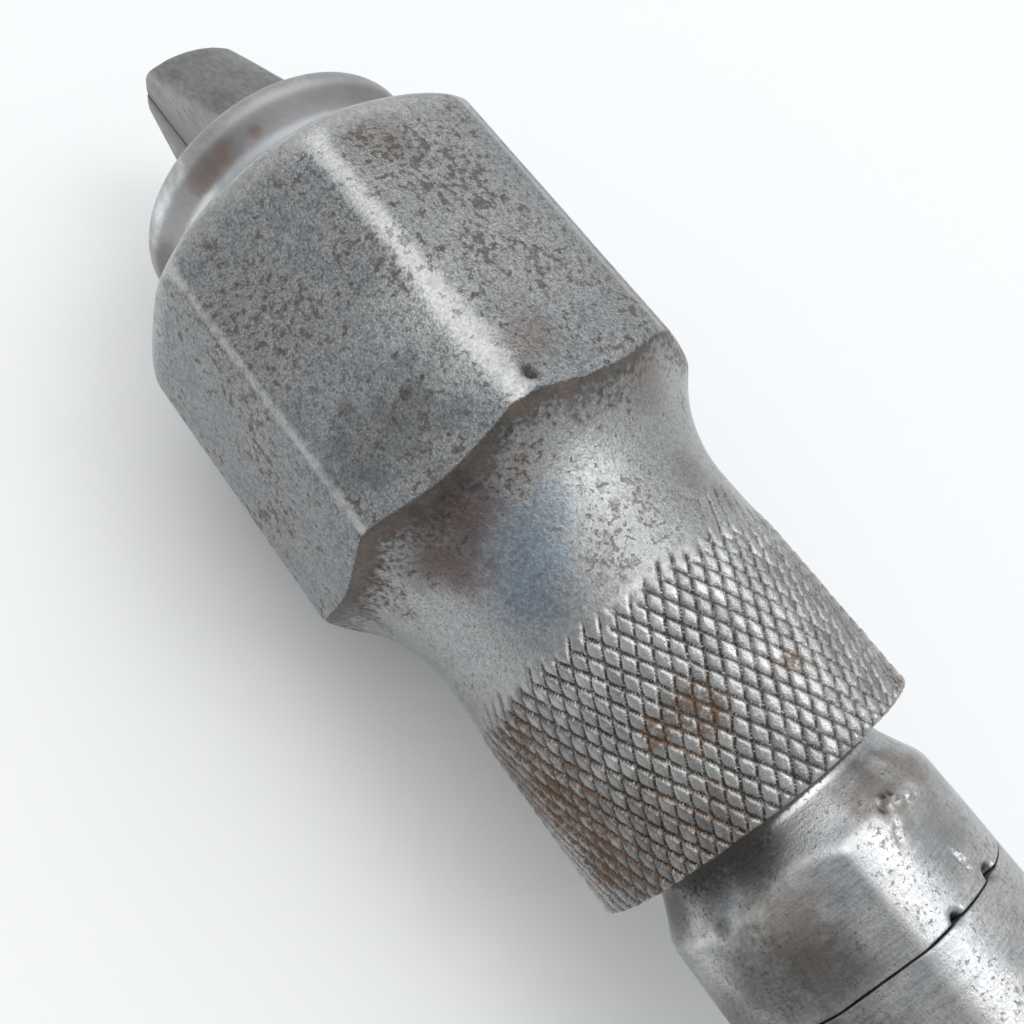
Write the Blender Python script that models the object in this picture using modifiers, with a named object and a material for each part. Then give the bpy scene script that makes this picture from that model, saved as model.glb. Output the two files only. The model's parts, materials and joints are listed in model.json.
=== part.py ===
# Hand brace with a screw chuck, lying on a table as it rests by itself.
# Every piece is modelled in the brace's own frame: Z runs along the axis to the nose, with its
# zero at the rear face of the chuck shell, X points to the crank's grip, Y is square to the crank.

import math

import bmesh
import bpy
import numpy as np
from mathutils import Matrix, Vector

mm = 0.001
degree = math.pi / 180

# Clearances, the extra reach of cutters, and the distance at which points join
fit = 0.3 * mm
turning_fit = 0.5 * mm
spare = 1.0 * mm
join_distance = 0.01 * mm

# Chuck shell, outside
knurl_radius = 15.5 * mm
knurl_length = 18.5 * mm
knurl_edge = 0.7 * mm
band_radius = 15.2 * mm
band_length = 4.0 * mm
cove_radius = 13.65 * mm
octagon_across_flats = 39.0 * mm
octagon_length = 30.4 * mm
octagon_roll = 16.8 * degree
front_edge_round = 2.2 * mm

# Chuck shell, inside
thread_radius = 11.0 * mm
thread_length = 22.0 * mm
cavity_radius = 16.8 * mm
cavity_cone_length = 14.0 * mm
lip_length = 6.0 * mm

# Nose ring and its thrust washer
ring_radius = 14.6 * mm
ring_collar_length = 1.2 * mm
ring_lip_radius = 14.85 * mm
ring_projection = 8.9 * mm
ring_lip_round = 1.9 * mm
ring_lip_turn = -50.0
ring_groove_radius = 13.7 * mm
ring_groove_rear = 3.0 * mm
ring_groove_front = 4.7 * mm
ring_front_bore = 11.2 * mm
ring_rear_bore = 13.3 * mm
ring_cone_angle = 20.0 * degree
flange_length = 4.0 * mm
washer_length = 1.0 * mm
washer_edge = 0.3 * mm

# Jaws
jaw_projection = 17.7 * mm
jaw_tip_height = 3.4 * mm
jaw_tip_round = 1.1 * mm
jaw_slope = 21.8 * degree
jaw_crown_offset = 7.3 * mm
jaw_width = 10.0 * mm
jaw_gap = 0.6 * mm
jaw_roll = 99.1 * degree
jaw_cone_overlap = 2.2 * mm
jaw_head_length = 9.0 * mm
jaw_tang_height = 9.2 * mm
jaw_tail_round = 2.0 * mm
jaw_pivot_height = 3.2 * mm
jaw_pivot_offset = 5.0 * mm
groove_half_diagonal = 4.6 * mm
groove_tip_half_diagonal = 2.0 * mm
groove_taper_length = 11.7 * mm
groove_length = 24.0 * mm
jaw_relief = 2.2 * mm

# Jaw spring
spring_wire_radius = 0.55 * mm
spring_leg_length = 30.0 * mm

# Chuck spindle
spindle_length = 46.0 * mm
slot_floor = 15.5 * mm
spindle_edge = 1.0 * mm
flare_start = 1.2 * mm
flare_length = 3.8 * mm
flare_curve = 1.2
boss_radius = 12.85 * mm
boss_across_flats = 24.6 * mm
boss_flat_roll = 66.0 * degree
boss_rear = 13.1 * mm
spigot_radius = 6.0 * mm
spigot_length = 9.8 * mm

# Crank frame
rod_radius = 6.35 * mm
drum_length = 7.0 * mm
drum_taper_length = 15.0 * mm
shank_length = 38.6 * mm
crank_throw = 127.0 * mm
arm_slant = 18.0 * mm
bend_radius = 20.0 * mm
head_shank_length = 6.0 * mm
head_collar_radius = 10.5 * mm
head_collar_length = 4.0 * mm
journal_radius = 5.0 * mm
journal_end_radius = 4.0 * mm
journal_end_spare = 1.5 * mm

# Grip on the crank
grip_length = 90.0 * mm
grip_end_radius = 13.0 * mm
grip_middle_radius = 15.5 * mm
ferrule_length = 8.0 * mm
ferrule_wall = 1.4 * mm
ferrule_edge = 0.6 * mm
collar_radius = 10.0 * mm
collar_length = 5.0 * mm
collar_edge = 0.8 * mm
pin_radius = 1.2 * mm

# Head
race_length = 2.0 * mm
sleeve_radius = 12.0 * mm
sleeve_length = 8.0 * mm
sleeve_flare = 5.0 * mm
plate_radius = 25.0 * mm
plate_length = 4.0 * mm
hub_radius = 10.0 * mm
hub_length = 6.0 * mm
nut_washer_radius = 8.5 * mm
nut_washer_length = 1.5 * mm
nut_across_flats = 13.0 * mm
nut_length = 6.0 * mm
cavity_spare = 1.5 * mm
head_radius = 38.0 * mm
head_foot_radius = 24.0 * mm
head_foot_length = 3.0 * mm
head_rim_depth = 16.0 * mm
head_dome_length = 19.0 * mm

# Counts of sides, and of rounds taken to settle the brace
fine_steps = 44
steps = 30
small_steps = 20
bend_points = 10
arc_points = 8
tip_points = 3
settle_rounds = 60

# Places along the axis that several pieces share
octagon_corner = octagon_across_flats / 2 / math.cos(math.pi / 8)
cove_start = knurl_length + band_length
cove_angle = math.acos(1 - (octagon_corner - band_radius) / cove_radius)
octagon_rear = cove_start + cove_radius * math.sin(cove_angle)
shell_front = octagon_rear + octagon_length
lip_rear = shell_front - lip_length
washer_rear = lip_rear - fit - washer_length
flange_front = washer_rear - fit
ring_front = shell_front + ring_projection
jaw_tip = ring_front + jaw_projection
jaw_tail = slot_floor + fit
cone_slope = math.tan(ring_cone_angle)
jaw_cone_end = ring_front - jaw_cone_overlap
jaw_head_rear = jaw_cone_end - jaw_head_length
frame_front = -boss_rear - fit
taper_end = frame_front - drum_length - drum_taper_length
lower_corner = -shank_length - boss_rear
grip_span = grip_length + 2 * collar_length + 4 * turning_fit
bend_angle = math.pi / 2 - math.atan2(arm_slant, crank_throw)
bend_reach = bend_radius * math.tan(bend_angle / 2)
grip_front_corner = lower_corner - arm_slant
grip_rear_corner = grip_front_corner - grip_span - 2 * bend_reach
grip_middle = (grip_front_corner + grip_rear_corner) / 2
upper_corner = grip_rear_corner - arm_slant
head_collar_front = upper_corner - bend_reach - head_shank_length
head_collar_rear = head_collar_front - head_collar_length
lower_race_rear = head_collar_rear - fit - race_length
upper_race_rear = lower_race_rear - fit - race_length
sleeve_front = upper_race_rear - fit
plate_front = sleeve_front - sleeve_length
plate_rear = plate_front - plate_length
hub_rear = plate_rear - hub_length
nut_washer_rear = hub_rear - fit - nut_washer_length
nut_rear = nut_washer_rear - fit - nut_length
journal_rear = nut_rear - journal_end_spare
wood_front = plate_rear - fit


def clear_scene():
    for obj in list(bpy.data.objects):
        bpy.data.objects.remove(obj, do_unlink=True)


def new_collection(name):
    made = bpy.data.collections.new(name)
    bpy.context.scene.collection.children.link(made)
    return made


def material(name, colour, roughness, metallic):
    made = bpy.data.materials.new(name)
    made.use_nodes = True
    shader = made.node_tree.nodes["Principled BSDF"]
    shader.inputs["Base Color"].default_value = (*colour, 1)
    shader.inputs["Roughness"].default_value = roughness
    shader.inputs["Metallic"].default_value = metallic
    return made


def empty(name, parent, location=(0, 0, 0), roll=0.0):
    made = bpy.data.objects.new(name, None)
    made.location = location
    made.rotation_euler = (0, 0, roll)
    made.parent = parent
    parts.objects.link(made)
    return made


def add_object(name, data, parent, look):
    """Links a piece that has a look, or else a hidden cutter."""
    made = bpy.data.objects.new(name, data)
    made.parent = parent
    if look:
        data.materials.append(look)
        parts.objects.link(made)
    else:
        made.hide_render = True
        made.display_type = "WIRE"
        cutters.objects.link(made)
    return made


def arc(radius_at, z_at, radius, start, end, points=arc_points):
    """Profile points round a centre, with angles in degrees from +X towards +Z."""
    turns = [start + (end - start) * i / points for i in range(points + 1)]
    return [
        (radius_at + radius * math.cos(turn * degree), z_at + radius * math.sin(turn * degree))
        for turn in turns
    ]


def turned(name, profile, parent, look=None, closed=True, count=steps):
    """A body turned round Z. A closed profile is a ring, an open one starts and ends on the axis."""
    mesh = bpy.data.meshes.new(name)
    shape = bmesh.new()
    points = [shape.verts.new((radius, 0, z)) for radius, z in profile]
    for first, second in zip(points, points[1:]):
        shape.edges.new((first, second))
    if closed:
        shape.edges.new((points[-1], points[0]))
    shape.to_mesh(mesh)
    shape.free()
    made = add_object(name, mesh, parent, look)
    screw = made.modifiers.new("turn", "SCREW")
    screw.steps = count
    screw.render_steps = count
    screw.use_merge_vertices = True
    screw.merge_threshold = join_distance
    screw.use_smooth_shade = True
    return made


def prism(name, radius, sides, bottom, top, parent, look=None, roll=0.0):
    """An upright prism with a corner at the roll angle from +X."""
    mesh = bpy.data.meshes.new(name)
    shape = bmesh.new()
    bmesh.ops.create_cone(
        shape, cap_ends=True, segments=sides, radius1=radius, radius2=radius, depth=top - bottom,
    )
    shape.verts.ensure_lookup_table()
    corner = shape.verts[0].co
    turn = Matrix.Rotation(roll - math.atan2(corner.y, corner.x), 4, "Z")
    lift = Matrix.Translation((0, 0, (bottom + top) / 2))
    bmesh.ops.transform(shape, matrix=lift @ turn, verts=shape.verts)
    shape.to_mesh(mesh)
    shape.free()
    return add_object(name, mesh, parent, look)


def box(name, low, high, parent, look=None):
    mesh = bpy.data.meshes.new(name)
    shape = bmesh.new()
    low, high = Vector(low), Vector(high)
    bmesh.ops.create_cube(shape, size=1)
    bmesh.ops.scale(shape, vec=high - low, verts=shape.verts)
    bmesh.ops.translate(shape, vec=(low + high) / 2, verts=shape.verts)
    shape.to_mesh(mesh)
    shape.free()
    return add_object(name, mesh, parent, look)


def tube(name, route, radius, parent, look=None, sides=8):
    """A round bar along the route, as a mesh, so that it can be joined and cut."""
    curve = bpy.data.curves.new(name, "CURVE")
    curve.dimensions = "3D"
    curve.bevel_depth = radius
    curve.bevel_resolution = (sides - 4) // 2
    curve.use_fill_caps = True
    spline = curve.splines.new("POLY")
    spline.points.add(len(route) - 1)
    for point, place in zip(spline.points, route):
        point.co = (*place, 1)
    guide = bpy.data.objects.new(name + "_guide", curve)
    mesh = bpy.data.meshes.new_from_object(guide)
    mesh.name = name
    bpy.data.objects.remove(guide)
    shape = bmesh.new()
    shape.from_mesh(mesh)
    bmesh.ops.remove_doubles(shape, verts=shape.verts, dist=join_distance)
    bmesh.ops.recalc_face_normals(shape, faces=shape.faces)
    shape.to_mesh(mesh)
    shape.free()
    mesh.polygons.foreach_set("use_smooth", [True] * len(mesh.polygons))
    return add_object(name, mesh, parent, look)


def boolean(obj, operation, other):
    step = obj.modifiers.new(operation.lower(), "BOOLEAN")
    step.operation = operation
    step.solver = "EXACT"
    step.object = other


def ring(name, inner, outer, bottom, top, edge, parent, look, count=steps):
    """A plain ring with its outer edges broken."""
    profile = [
        (inner, top), (outer - edge, top), (outer, top - edge),
        (outer, bottom + edge), (outer - edge, bottom), (inner, bottom),
    ]
    return turned(name, profile, parent, look, count=count)


def octagon_bar(name, bottom, top, parent):
    """The octagon's outline as a bar, with the edges of its front face rounded."""
    bar = prism(name, octagon_corner, 8, bottom, top, parent, roll=octagon_roll + math.pi / 8)
    shape = bmesh.new()
    shape.from_mesh(bar.data)
    front = [edge for edge in shape.edges if all(corner.co.z > (bottom + top) / 2 for corner in edge.verts)]
    bmesh.ops.bevel(
        shape, geom=front, offset=front_edge_round, offset_type="OFFSET", segments=tip_points,
        profile=0.5, affect="EDGES",
    )
    shape.to_mesh(bar.data)
    shape.free()
    return bar


def cut_boss_flats(obj):
    """Two flats across the boss and the drum behind it, which meet at the seam."""
    for side, word in ((1, "a"), (-1, "b")):
        near, far = sorted((side * boss_across_flats / 2, side * boss_radius * 2))
        flat = bpy.data.objects.get("cut_flat_" + word) or box(
            "cut_flat_" + word, (near, -boss_radius, 2 * taper_end), (far, boss_radius, 0), flat_frame,
        )
        boolean(obj, "DIFFERENCE", flat)


def make_shell():
    outside_angle = math.acos(1 - (octagon_corner + spare - band_radius) / cove_radius)
    cove_turns = [outside_angle * (arc_points - i) / arc_points for i in range(arc_points + 1)]
    cove = [
        (band_radius + cove_radius * (1 - math.cos(turn)), cove_start + cove_radius * math.sin(turn))
        for turn in cove_turns
    ]
    bore = thread_radius + fit
    profile = [
        (ring_radius + turning_fit, shell_front + spare),
        (octagon_corner + spare, shell_front + spare),
        *cove,
        (band_radius, knurl_length + knurl_radius - band_radius),
        (knurl_radius, knurl_length),
        (knurl_radius, knurl_edge),
        (knurl_radius - knurl_edge, 0),
        (bore + knurl_edge, 0),
        (bore, knurl_edge),
        (bore, thread_length),
        (cavity_radius, thread_length + cavity_cone_length),
        (cavity_radius, lip_rear),
        (ring_radius + turning_fit, lip_rear),
    ]
    shell = turned("chuck_shell", profile, root, worn_steel, count=fine_steps)
    boolean(shell, "INTERSECT", octagon_bar("cut_octagon", -knurl_length, shell_front, root))


def make_nose_ring():
    cone_rear = ring_front - (ring_rear_bore - ring_front_bore) / cone_slope
    lip_middle = ring_lip_radius - ring_lip_round
    profile = [
        (ring_front_bore, ring_front),
        *arc(lip_middle, ring_front - ring_lip_round, ring_lip_round, 90, ring_lip_turn),
        (ring_groove_radius, shell_front + ring_groove_front),
        (ring_groove_radius, shell_front + ring_groove_rear),
        (ring_radius, shell_front + ring_collar_length),
        (ring_radius, flange_front),
        (cavity_radius - fit, flange_front),
        (cavity_radius - fit, flange_front - flange_length),
        (ring_rear_bore, flange_front - flange_length),
        (ring_rear_bore, cone_rear),
    ]
    turned("nose_ring", profile, root, bright_steel, count=fine_steps)
    ring(
        "thrust_washer", ring_radius + fit, cavity_radius - fit, washer_rear,
        washer_rear + washer_length, washer_edge, root, bright_steel,
    )


def make_jaw(name, pivot):
    """One of the two alligator jaws: a slice with a turned crown, grooved for a square shank."""
    slope = math.tan(jaw_slope)
    tip = jaw_crown_offset + jaw_tip_height
    widest = tip + (jaw_tip - jaw_cone_end) * slope
    tang = jaw_crown_offset + jaw_tang_height
    tip_middle = tip + jaw_tip_round * slope - jaw_tip_round
    profile = [
        (0, jaw_tip),
        *arc(tip_middle, jaw_tip - jaw_tip_round, jaw_tip_round, 90, 0, tip_points),
        (widest, jaw_cone_end),
        (widest, jaw_head_rear),
        (tang, jaw_head_rear - widest + tang),
        (tang, jaw_tail + jaw_tail_round),
        (tang - jaw_tail_round, jaw_tail),
        (0, jaw_tail),
    ]
    jaw = turned(name, profile, pivot, dull_steel, closed=False, count=fine_steps)
    half = jaw_width / 2
    over = jaw_tang_height
    keep = box(
        "cut_half_" + name, (jaw_gap / 2, -half, jaw_tail - over),
        (2 * widest, half, jaw_tip + over), pivot,
    )
    groove = turned("cut_groove_" + name, [
        (0, jaw_tip + over),
        (groove_tip_half_diagonal, jaw_tip + over),
        (groove_tip_half_diagonal, jaw_tip),
        (groove_half_diagonal, jaw_tip - groove_taper_length),
        (groove_half_diagonal, jaw_tip - groove_length),
        (0, jaw_tip - groove_length),
    ], pivot, closed=False, count=4)
    relief_front = jaw_tip - groove_length + jaw_tip_round
    relief = box(
        "cut_relief_" + name, (-over, -jaw_width, jaw_tail - over),
        (jaw_relief, jaw_width, relief_front), pivot,
    )
    boolean(jaw, "INTERSECT", keep)
    boolean(jaw, "DIFFERENCE", groove)
    boolean(jaw, "DIFFERENCE", relief)
    shift = Vector((-jaw_pivot_offset, 0, -jaw_tail - jaw_pivot_height))
    for piece in (keep, groove, relief):
        piece.location = shift
    jaw.location = shift - Vector((jaw_crown_offset, 0, 0))


def make_jaw_spring():
    """A hairpin between the jaws, whose bend rests on the floor of the slot."""
    leg = jaw_relief - fit - spring_wire_radius
    bend = slot_floor + fit + spring_wire_radius + leg
    turns = [math.pi * (1 + i / arc_points) for i in range(arc_points + 1)]
    route = [
        (-leg, 0, bend + spring_leg_length),
        *[(leg * math.cos(turn), 0, bend + leg * math.sin(turn)) for turn in turns],
        (leg, 0, bend + spring_leg_length),
    ]
    tube("jaw_spring", route, spring_wire_radius, jaw_frame, spring_steel)


def make_spindle():
    front = spindle_length
    bore = spigot_radius + fit
    bore_end = frame_front + spigot_length + fit
    shares = [i / arc_points for i in range(arc_points + 1)]
    flare = [
        (
            thread_radius + (boss_radius - thread_radius) * share ** flare_curve,
            -flare_start - flare_length * share,
        )
        for share in shares
    ]
    spindle = turned("chuck_spindle", [
        (0, front),
        (thread_radius - spindle_edge, front),
        (thread_radius, front - spindle_edge),
        *flare,
        (boss_radius, -boss_rear),
        (bore, -boss_rear),
        (bore, bore_end),
        (0, bore_end),
    ], root, satin_steel, closed=False)
    slot = box(
        "cut_slot", (-2 * thread_radius, -jaw_width / 2 - fit, slot_floor),
        (2 * thread_radius, jaw_width / 2 + fit, front + thread_radius), jaw_frame,
    )
    boolean(spindle, "DIFFERENCE", slot)
    cut_boss_flats(spindle)


def crank_route():
    """The middle line of the bent rod, from inside the drum to inside the head collar."""
    corners = [
        Vector((0, 0, lower_corner)),
        Vector((crank_throw, 0, grip_front_corner)),
        Vector((crank_throw, 0, grip_rear_corner)),
        Vector((0, 0, upper_corner)),
    ]
    start = Vector((0, 0, frame_front - drum_length))
    end = Vector((0, 0, head_collar_front - head_collar_length / 2))
    stops = [start, *corners, end]
    route = [start]
    for before, corner, after in zip(stops, stops[1:], stops[2:]):
        inward = (before - corner).normalized()
        outward = (after - corner).normalized()
        middle = corner + (inward + outward).normalized() * bend_radius / math.cos(bend_angle / 2)
        first = corner + inward * bend_reach - middle
        sweep = first.rotation_difference(corner + outward * bend_reach - middle)
        for i in range(bend_points + 1):
            share = sweep.copy()
            share.angle = sweep.angle * i / bend_points
            route.append(middle + share @ first)
    route.append(end)
    return route


def make_frame():
    shares = [i / arc_points for i in range(arc_points + 1)]
    taper = [
        (
            rod_radius + fit + (boss_radius - rod_radius - fit) * (1 + math.cos(math.pi * share)) / 2,
            frame_front - drum_length - drum_taper_length * share,
        )
        for share in shares
    ]
    frame = turned("frame", [
        (0, frame_front + spigot_length),
        (spigot_radius, frame_front + spigot_length),
        (spigot_radius, frame_front),
        (boss_radius, frame_front),
        *taper,
        (0, taper_end),
    ], root, satin_steel, closed=False)
    cut_boss_flats(frame)
    boolean(frame, "UNION", tube("cut_rod", crank_route(), rod_radius, root, sides=16))
    edge = collar_edge
    journal = turned("cut_journal", [
        (0, head_collar_front),
        (head_collar_radius - edge, head_collar_front),
        (head_collar_radius, head_collar_front - edge),
        (head_collar_radius, head_collar_rear),
        (journal_radius, head_collar_rear),
        (journal_radius, hub_rear),
        (journal_end_radius, hub_rear),
        (journal_end_radius, journal_rear),
        (0, journal_rear),
    ], root, closed=False)
    boolean(frame, "UNION", journal)
    for end in ends:
        boolean(frame, "DIFFERENCE", pin_hole(end))


def pin_place(end):
    return Vector((0, 0, end * (grip_length / 2 + turning_fit + collar_length / 2)))


def pin_hole(end):
    hole = prism(
        "cut_pin_" + ends[end], pin_radius + fit, small_steps, -2 * collar_radius,
        2 * collar_radius, grip_frame,
    )
    hole.location = pin_place(end)
    hole.rotation_euler = (math.pi / 2, 0, 0)
    return hole


def make_collars():
    for end, word in ends.items():
        middle = pin_place(end).z
        collar = ring(
            "grip_collar_" + word, rod_radius + fit, collar_radius, middle - collar_length / 2,
            middle + collar_length / 2, collar_edge, grip_frame, satin_steel, small_steps,
        )
        boolean(collar, "DIFFERENCE", bpy.data.objects["cut_pin_" + word])
        pin = prism(
            "collar_pin_" + word, pin_radius, small_steps // 2, fit - collar_radius,
            collar_radius - fit, grip_frame, satin_steel,
        )
        pin.location = pin_place(end)
        pin.rotation_euler = (math.pi / 2, 0, 0)


def make_grip():
    """A turned wooden grip in two halves, held on the rod by a ferrule at each end."""
    half = grip_length / 2
    tenon = grip_end_radius - ferrule_wall - fit
    barrel = half - ferrule_length - fit
    turns = [i / (2 * arc_points) for i in range(2 * arc_points + 1)]
    bulge = [
        (
            grip_end_radius + (grip_middle_radius - grip_end_radius) * math.sin(math.pi * share),
            barrel * (1 - 2 * share),
        )
        for share in turns
    ]
    bore = rod_radius + turning_fit
    profile = [
        (bore, half), (tenon, half), (tenon, barrel), *bulge, (tenon, -barrel), (tenon, -half),
        (bore, -half),
    ]
    for side, word in ((1, "a"), (-1, "b")):
        wood = turned("grip_half_" + word, profile, grip_axis, dark_wood)
        reach = 2 * grip_middle_radius
        near, far = sorted((side * fit / 2, side * reach))
        keep = box(
            "cut_grip_" + word, (-reach, near, -grip_length), (reach, far, grip_length), grip_axis,
        )
        boolean(wood, "INTERSECT", keep)
    for end, word in ends.items():
        low, high = sorted((end * half, end * (half - ferrule_length)))
        ring(
            "grip_ferrule_" + word, grip_end_radius - ferrule_wall, grip_end_radius, low, high,
            ferrule_edge, grip_axis, satin_steel,
        )


def make_head():
    bore = journal_radius + fit
    edge = collar_edge
    for word, rear in (("lower", lower_race_rear), ("upper", upper_race_rear)):
        ring(
            "head_race_" + word, bore, head_collar_radius, rear, rear + race_length,
            washer_edge, root, bright_steel,
        )
    sweep = arc(
        sleeve_radius + sleeve_flare, plate_front + sleeve_flare, sleeve_flare, 180, 270,
    )
    turned("head_flange", [
        (bore, sleeve_front),
        (sleeve_radius - edge, sleeve_front),
        (sleeve_radius, sleeve_front - edge),
        *sweep,
        (plate_radius - edge, plate_front),
        (plate_radius, plate_front - edge),
        (plate_radius, plate_rear),
        (hub_radius, plate_rear),
        (hub_radius, hub_rear),
        (bore, hub_rear),
    ], root, satin_steel)
    end_bore = journal_end_radius + fit
    ring(
        "head_nut_washer", end_bore, nut_washer_radius, nut_washer_rear,
        nut_washer_rear + nut_washer_length, washer_edge, root, bright_steel,
    )
    nut = prism(
        "head_nut", nut_across_flats / math.sqrt(3), 6, nut_rear, nut_rear + nut_length, root,
        bright_steel,
    )
    hole = prism(
        "cut_nut", end_bore, small_steps, nut_rear - nut_length, nut_rear + 2 * nut_length, root,
    )
    boolean(nut, "DIFFERENCE", hole)


def make_head_wood():
    """A mushroom pad, turned, with a pocket for the hub and the nut."""
    pocket_radius = hub_radius + fit
    pocket_floor = journal_rear - cavity_spare
    foot = wood_front - head_foot_length
    rim = wood_front - head_rim_depth
    shares = [i / arc_points for i in range(arc_points + 1)]
    under = [
        (
            head_radius - (head_radius - head_foot_radius) * math.sqrt(max(0, 1 - share * share)),
            foot + (rim - foot) * share,
        )
        for share in shares
    ]
    dome = [
        (head_radius * math.cos(share * math.pi / 2), rim - head_dome_length * math.sin(share * math.pi / 2))
        for share in shares[1:-1]
    ]
    turned("head_wood", [
        (0, pocket_floor),
        (pocket_radius, pocket_floor),
        (pocket_radius, wood_front),
        (head_foot_radius, wood_front),
        *under,
        *dome,
        (0, rim - head_dome_length),
    ], root, dark_wood, closed=False, count=fine_steps)


def points_of(names):
    """The named pieces' corners, in the scene's frame."""
    bpy.context.view_layer.update()
    graph = bpy.context.evaluated_depsgraph_get()
    found = []
    for name in names:
        shown = bpy.data.objects[name].evaluated_get(graph)
        mesh = shown.to_mesh()
        flat = np.empty(len(mesh.vertices) * 3, np.float32)
        mesh.vertices.foreach_get("co", flat)
        shown.to_mesh_clear()
        world = np.array(shown.matrix_world)
        found.append(flat.reshape(-1, 3) @ world[:3, :3].T + world[:3, 3])
    return np.concatenate(found)


def turn_to_table(roll, pitch):
    """Lays the axis along X and the crank along Y, then drops the grip by roll and the nose by pitch."""
    lay = Matrix(((0, 0, 1), (1, 0, 0), (0, 1, 0)))
    return Matrix.Rotation(pitch, 3, "Y") @ Matrix.Rotation(-roll, 3, "X") @ lay


def settle():
    """Rests the brace on its head, its octagon and its grip."""
    head = points_of(["head_wood"])
    shell = points_of(["chuck_shell"])
    grip = points_of(["grip_half_a", "grip_half_b"])
    length = jaw_tip - wood_front
    roll, pitch = 0.0, 0.0
    for _ in range(settle_rounds):
        upward = np.array(turn_to_table(roll, pitch))[2]
        under_head, under_shell, under_grip = ((points @ upward).min() for points in (head, shell, grip))
        pitch += (under_shell - under_head) / length
        roll += (under_grip - under_shell) / crank_throw
    turn = turn_to_table(roll, pitch)
    names = [obj.name for obj in parts.objects if obj.type == "MESH"]
    everything = points_of(names) @ np.array(turn).T
    low, high = everything.min(axis=0), everything.max(axis=0)
    root.matrix_world = Matrix.Translation(
        (-(low[0] + high[0]) / 2, -(low[1] + high[1]) / 2, -low[2])
    ) @ turn.to_4x4()
    print(f"rests with the nose {pitch / degree:.2f} and the grip {roll / degree:.2f} degrees down")
    print("size in mm", [round(float(side) / mm, 2) for side in high - low])


clear_scene()
parts = new_collection("hand_brace")
cutters = new_collection("cutters")

worn_steel = material("worn_steel", (0.27, 0.27, 0.27), 0.45, 0.9)
bright_steel = material("bright_steel", (0.42, 0.41, 0.40), 0.35, 0.9)
satin_steel = material("satin_steel", (0.36, 0.35, 0.34), 0.38, 0.9)
dull_steel = material("dull_steel", (0.30, 0.30, 0.31), 0.50, 0.9)
spring_steel = material("spring_steel", (0.20, 0.21, 0.23), 0.35, 0.9)
dark_wood = material("dark_wood", (0.13, 0.055, 0.025), 0.42, 0.0)

root = empty("brace", None)
flat_frame = empty("flat_frame", root, roll=boss_flat_roll)
jaw_frame = empty("jaw_frame", root, roll=jaw_roll)
pivot_height = jaw_tail + jaw_pivot_height
jaw_a_pivot = empty("jaw_a_pivot", jaw_frame, (jaw_pivot_offset, 0, pivot_height))
jaw_b_pivot = empty("jaw_b_pivot", jaw_frame, (-jaw_pivot_offset, 0, pivot_height), math.pi)
grip_frame = empty("grip_frame", root, (crank_throw, 0, grip_middle))
grip_axis = empty("grip_axis", grip_frame)
ends = {1: "front", -1: "rear"}

make_shell()
make_nose_ring()
make_jaw("jaw_a", jaw_a_pivot)
make_jaw("jaw_b", jaw_b_pivot)
make_jaw_spring()
make_spindle()
make_frame()
make_collars()
make_grip()
make_head()
make_head_wood()
settle()
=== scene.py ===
import json
from math import acos, asin, atan2, ceil, cos, exp, hypot, pi, sin, sqrt, tan, tau

import bmesh
import bpy
import numpy as np
from mathutils import Matrix, Vector, noise

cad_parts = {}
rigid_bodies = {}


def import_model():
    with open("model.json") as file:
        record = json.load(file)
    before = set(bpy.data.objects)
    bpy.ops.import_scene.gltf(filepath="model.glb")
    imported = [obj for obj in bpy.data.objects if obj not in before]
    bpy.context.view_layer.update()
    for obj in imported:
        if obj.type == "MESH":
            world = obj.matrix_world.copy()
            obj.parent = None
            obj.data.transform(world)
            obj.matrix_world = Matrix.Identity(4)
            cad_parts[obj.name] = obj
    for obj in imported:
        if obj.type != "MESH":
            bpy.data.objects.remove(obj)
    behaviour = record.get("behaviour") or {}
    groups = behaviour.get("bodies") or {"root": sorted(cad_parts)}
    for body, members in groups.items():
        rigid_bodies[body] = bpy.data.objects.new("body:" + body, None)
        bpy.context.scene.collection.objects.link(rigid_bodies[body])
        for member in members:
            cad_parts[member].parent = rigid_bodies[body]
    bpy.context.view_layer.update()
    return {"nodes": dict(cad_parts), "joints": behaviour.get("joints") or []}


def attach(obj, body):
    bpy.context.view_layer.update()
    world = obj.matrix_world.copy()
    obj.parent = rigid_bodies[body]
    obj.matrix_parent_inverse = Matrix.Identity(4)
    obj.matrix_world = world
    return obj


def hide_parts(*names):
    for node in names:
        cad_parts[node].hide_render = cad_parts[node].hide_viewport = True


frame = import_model()
mm = 0.001
degree = pi / 180
grainSpan = 0.36, 0.66  # most values of a grain lie between

# the brace's own frame: z to the nose from the barrel's rear face, x to the crank's grip
joints = {joint["name"]: joint for joint in frame["joints"]}
noseAxis = Vector(joints["shell_turn"]["axis"]).normalized()
barrelRear = Vector(joints["shell_turn"]["pos_m"])
toGrip = Vector(joints["grip_spin"]["pos_m"]) - barrelRear
gripHeight = toGrip.dot(noseAxis)
crankSide = (toGrip - noseAxis * gripHeight).normalized()
braceFrame = Matrix((crankSide, noseAxis.cross(crankSide), noseAxis)).transposed().to_4x4()
braceFrame.translation = barrelRear
crankThrow = toGrip.dot(crankSide)
gripFrame = braceFrame @ Matrix.Translation((crankThrow, 0, gripHeight))
print("frame loaded, grip", round(crankThrow / mm, 1), "mm off the axis")


# shader sums

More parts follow.
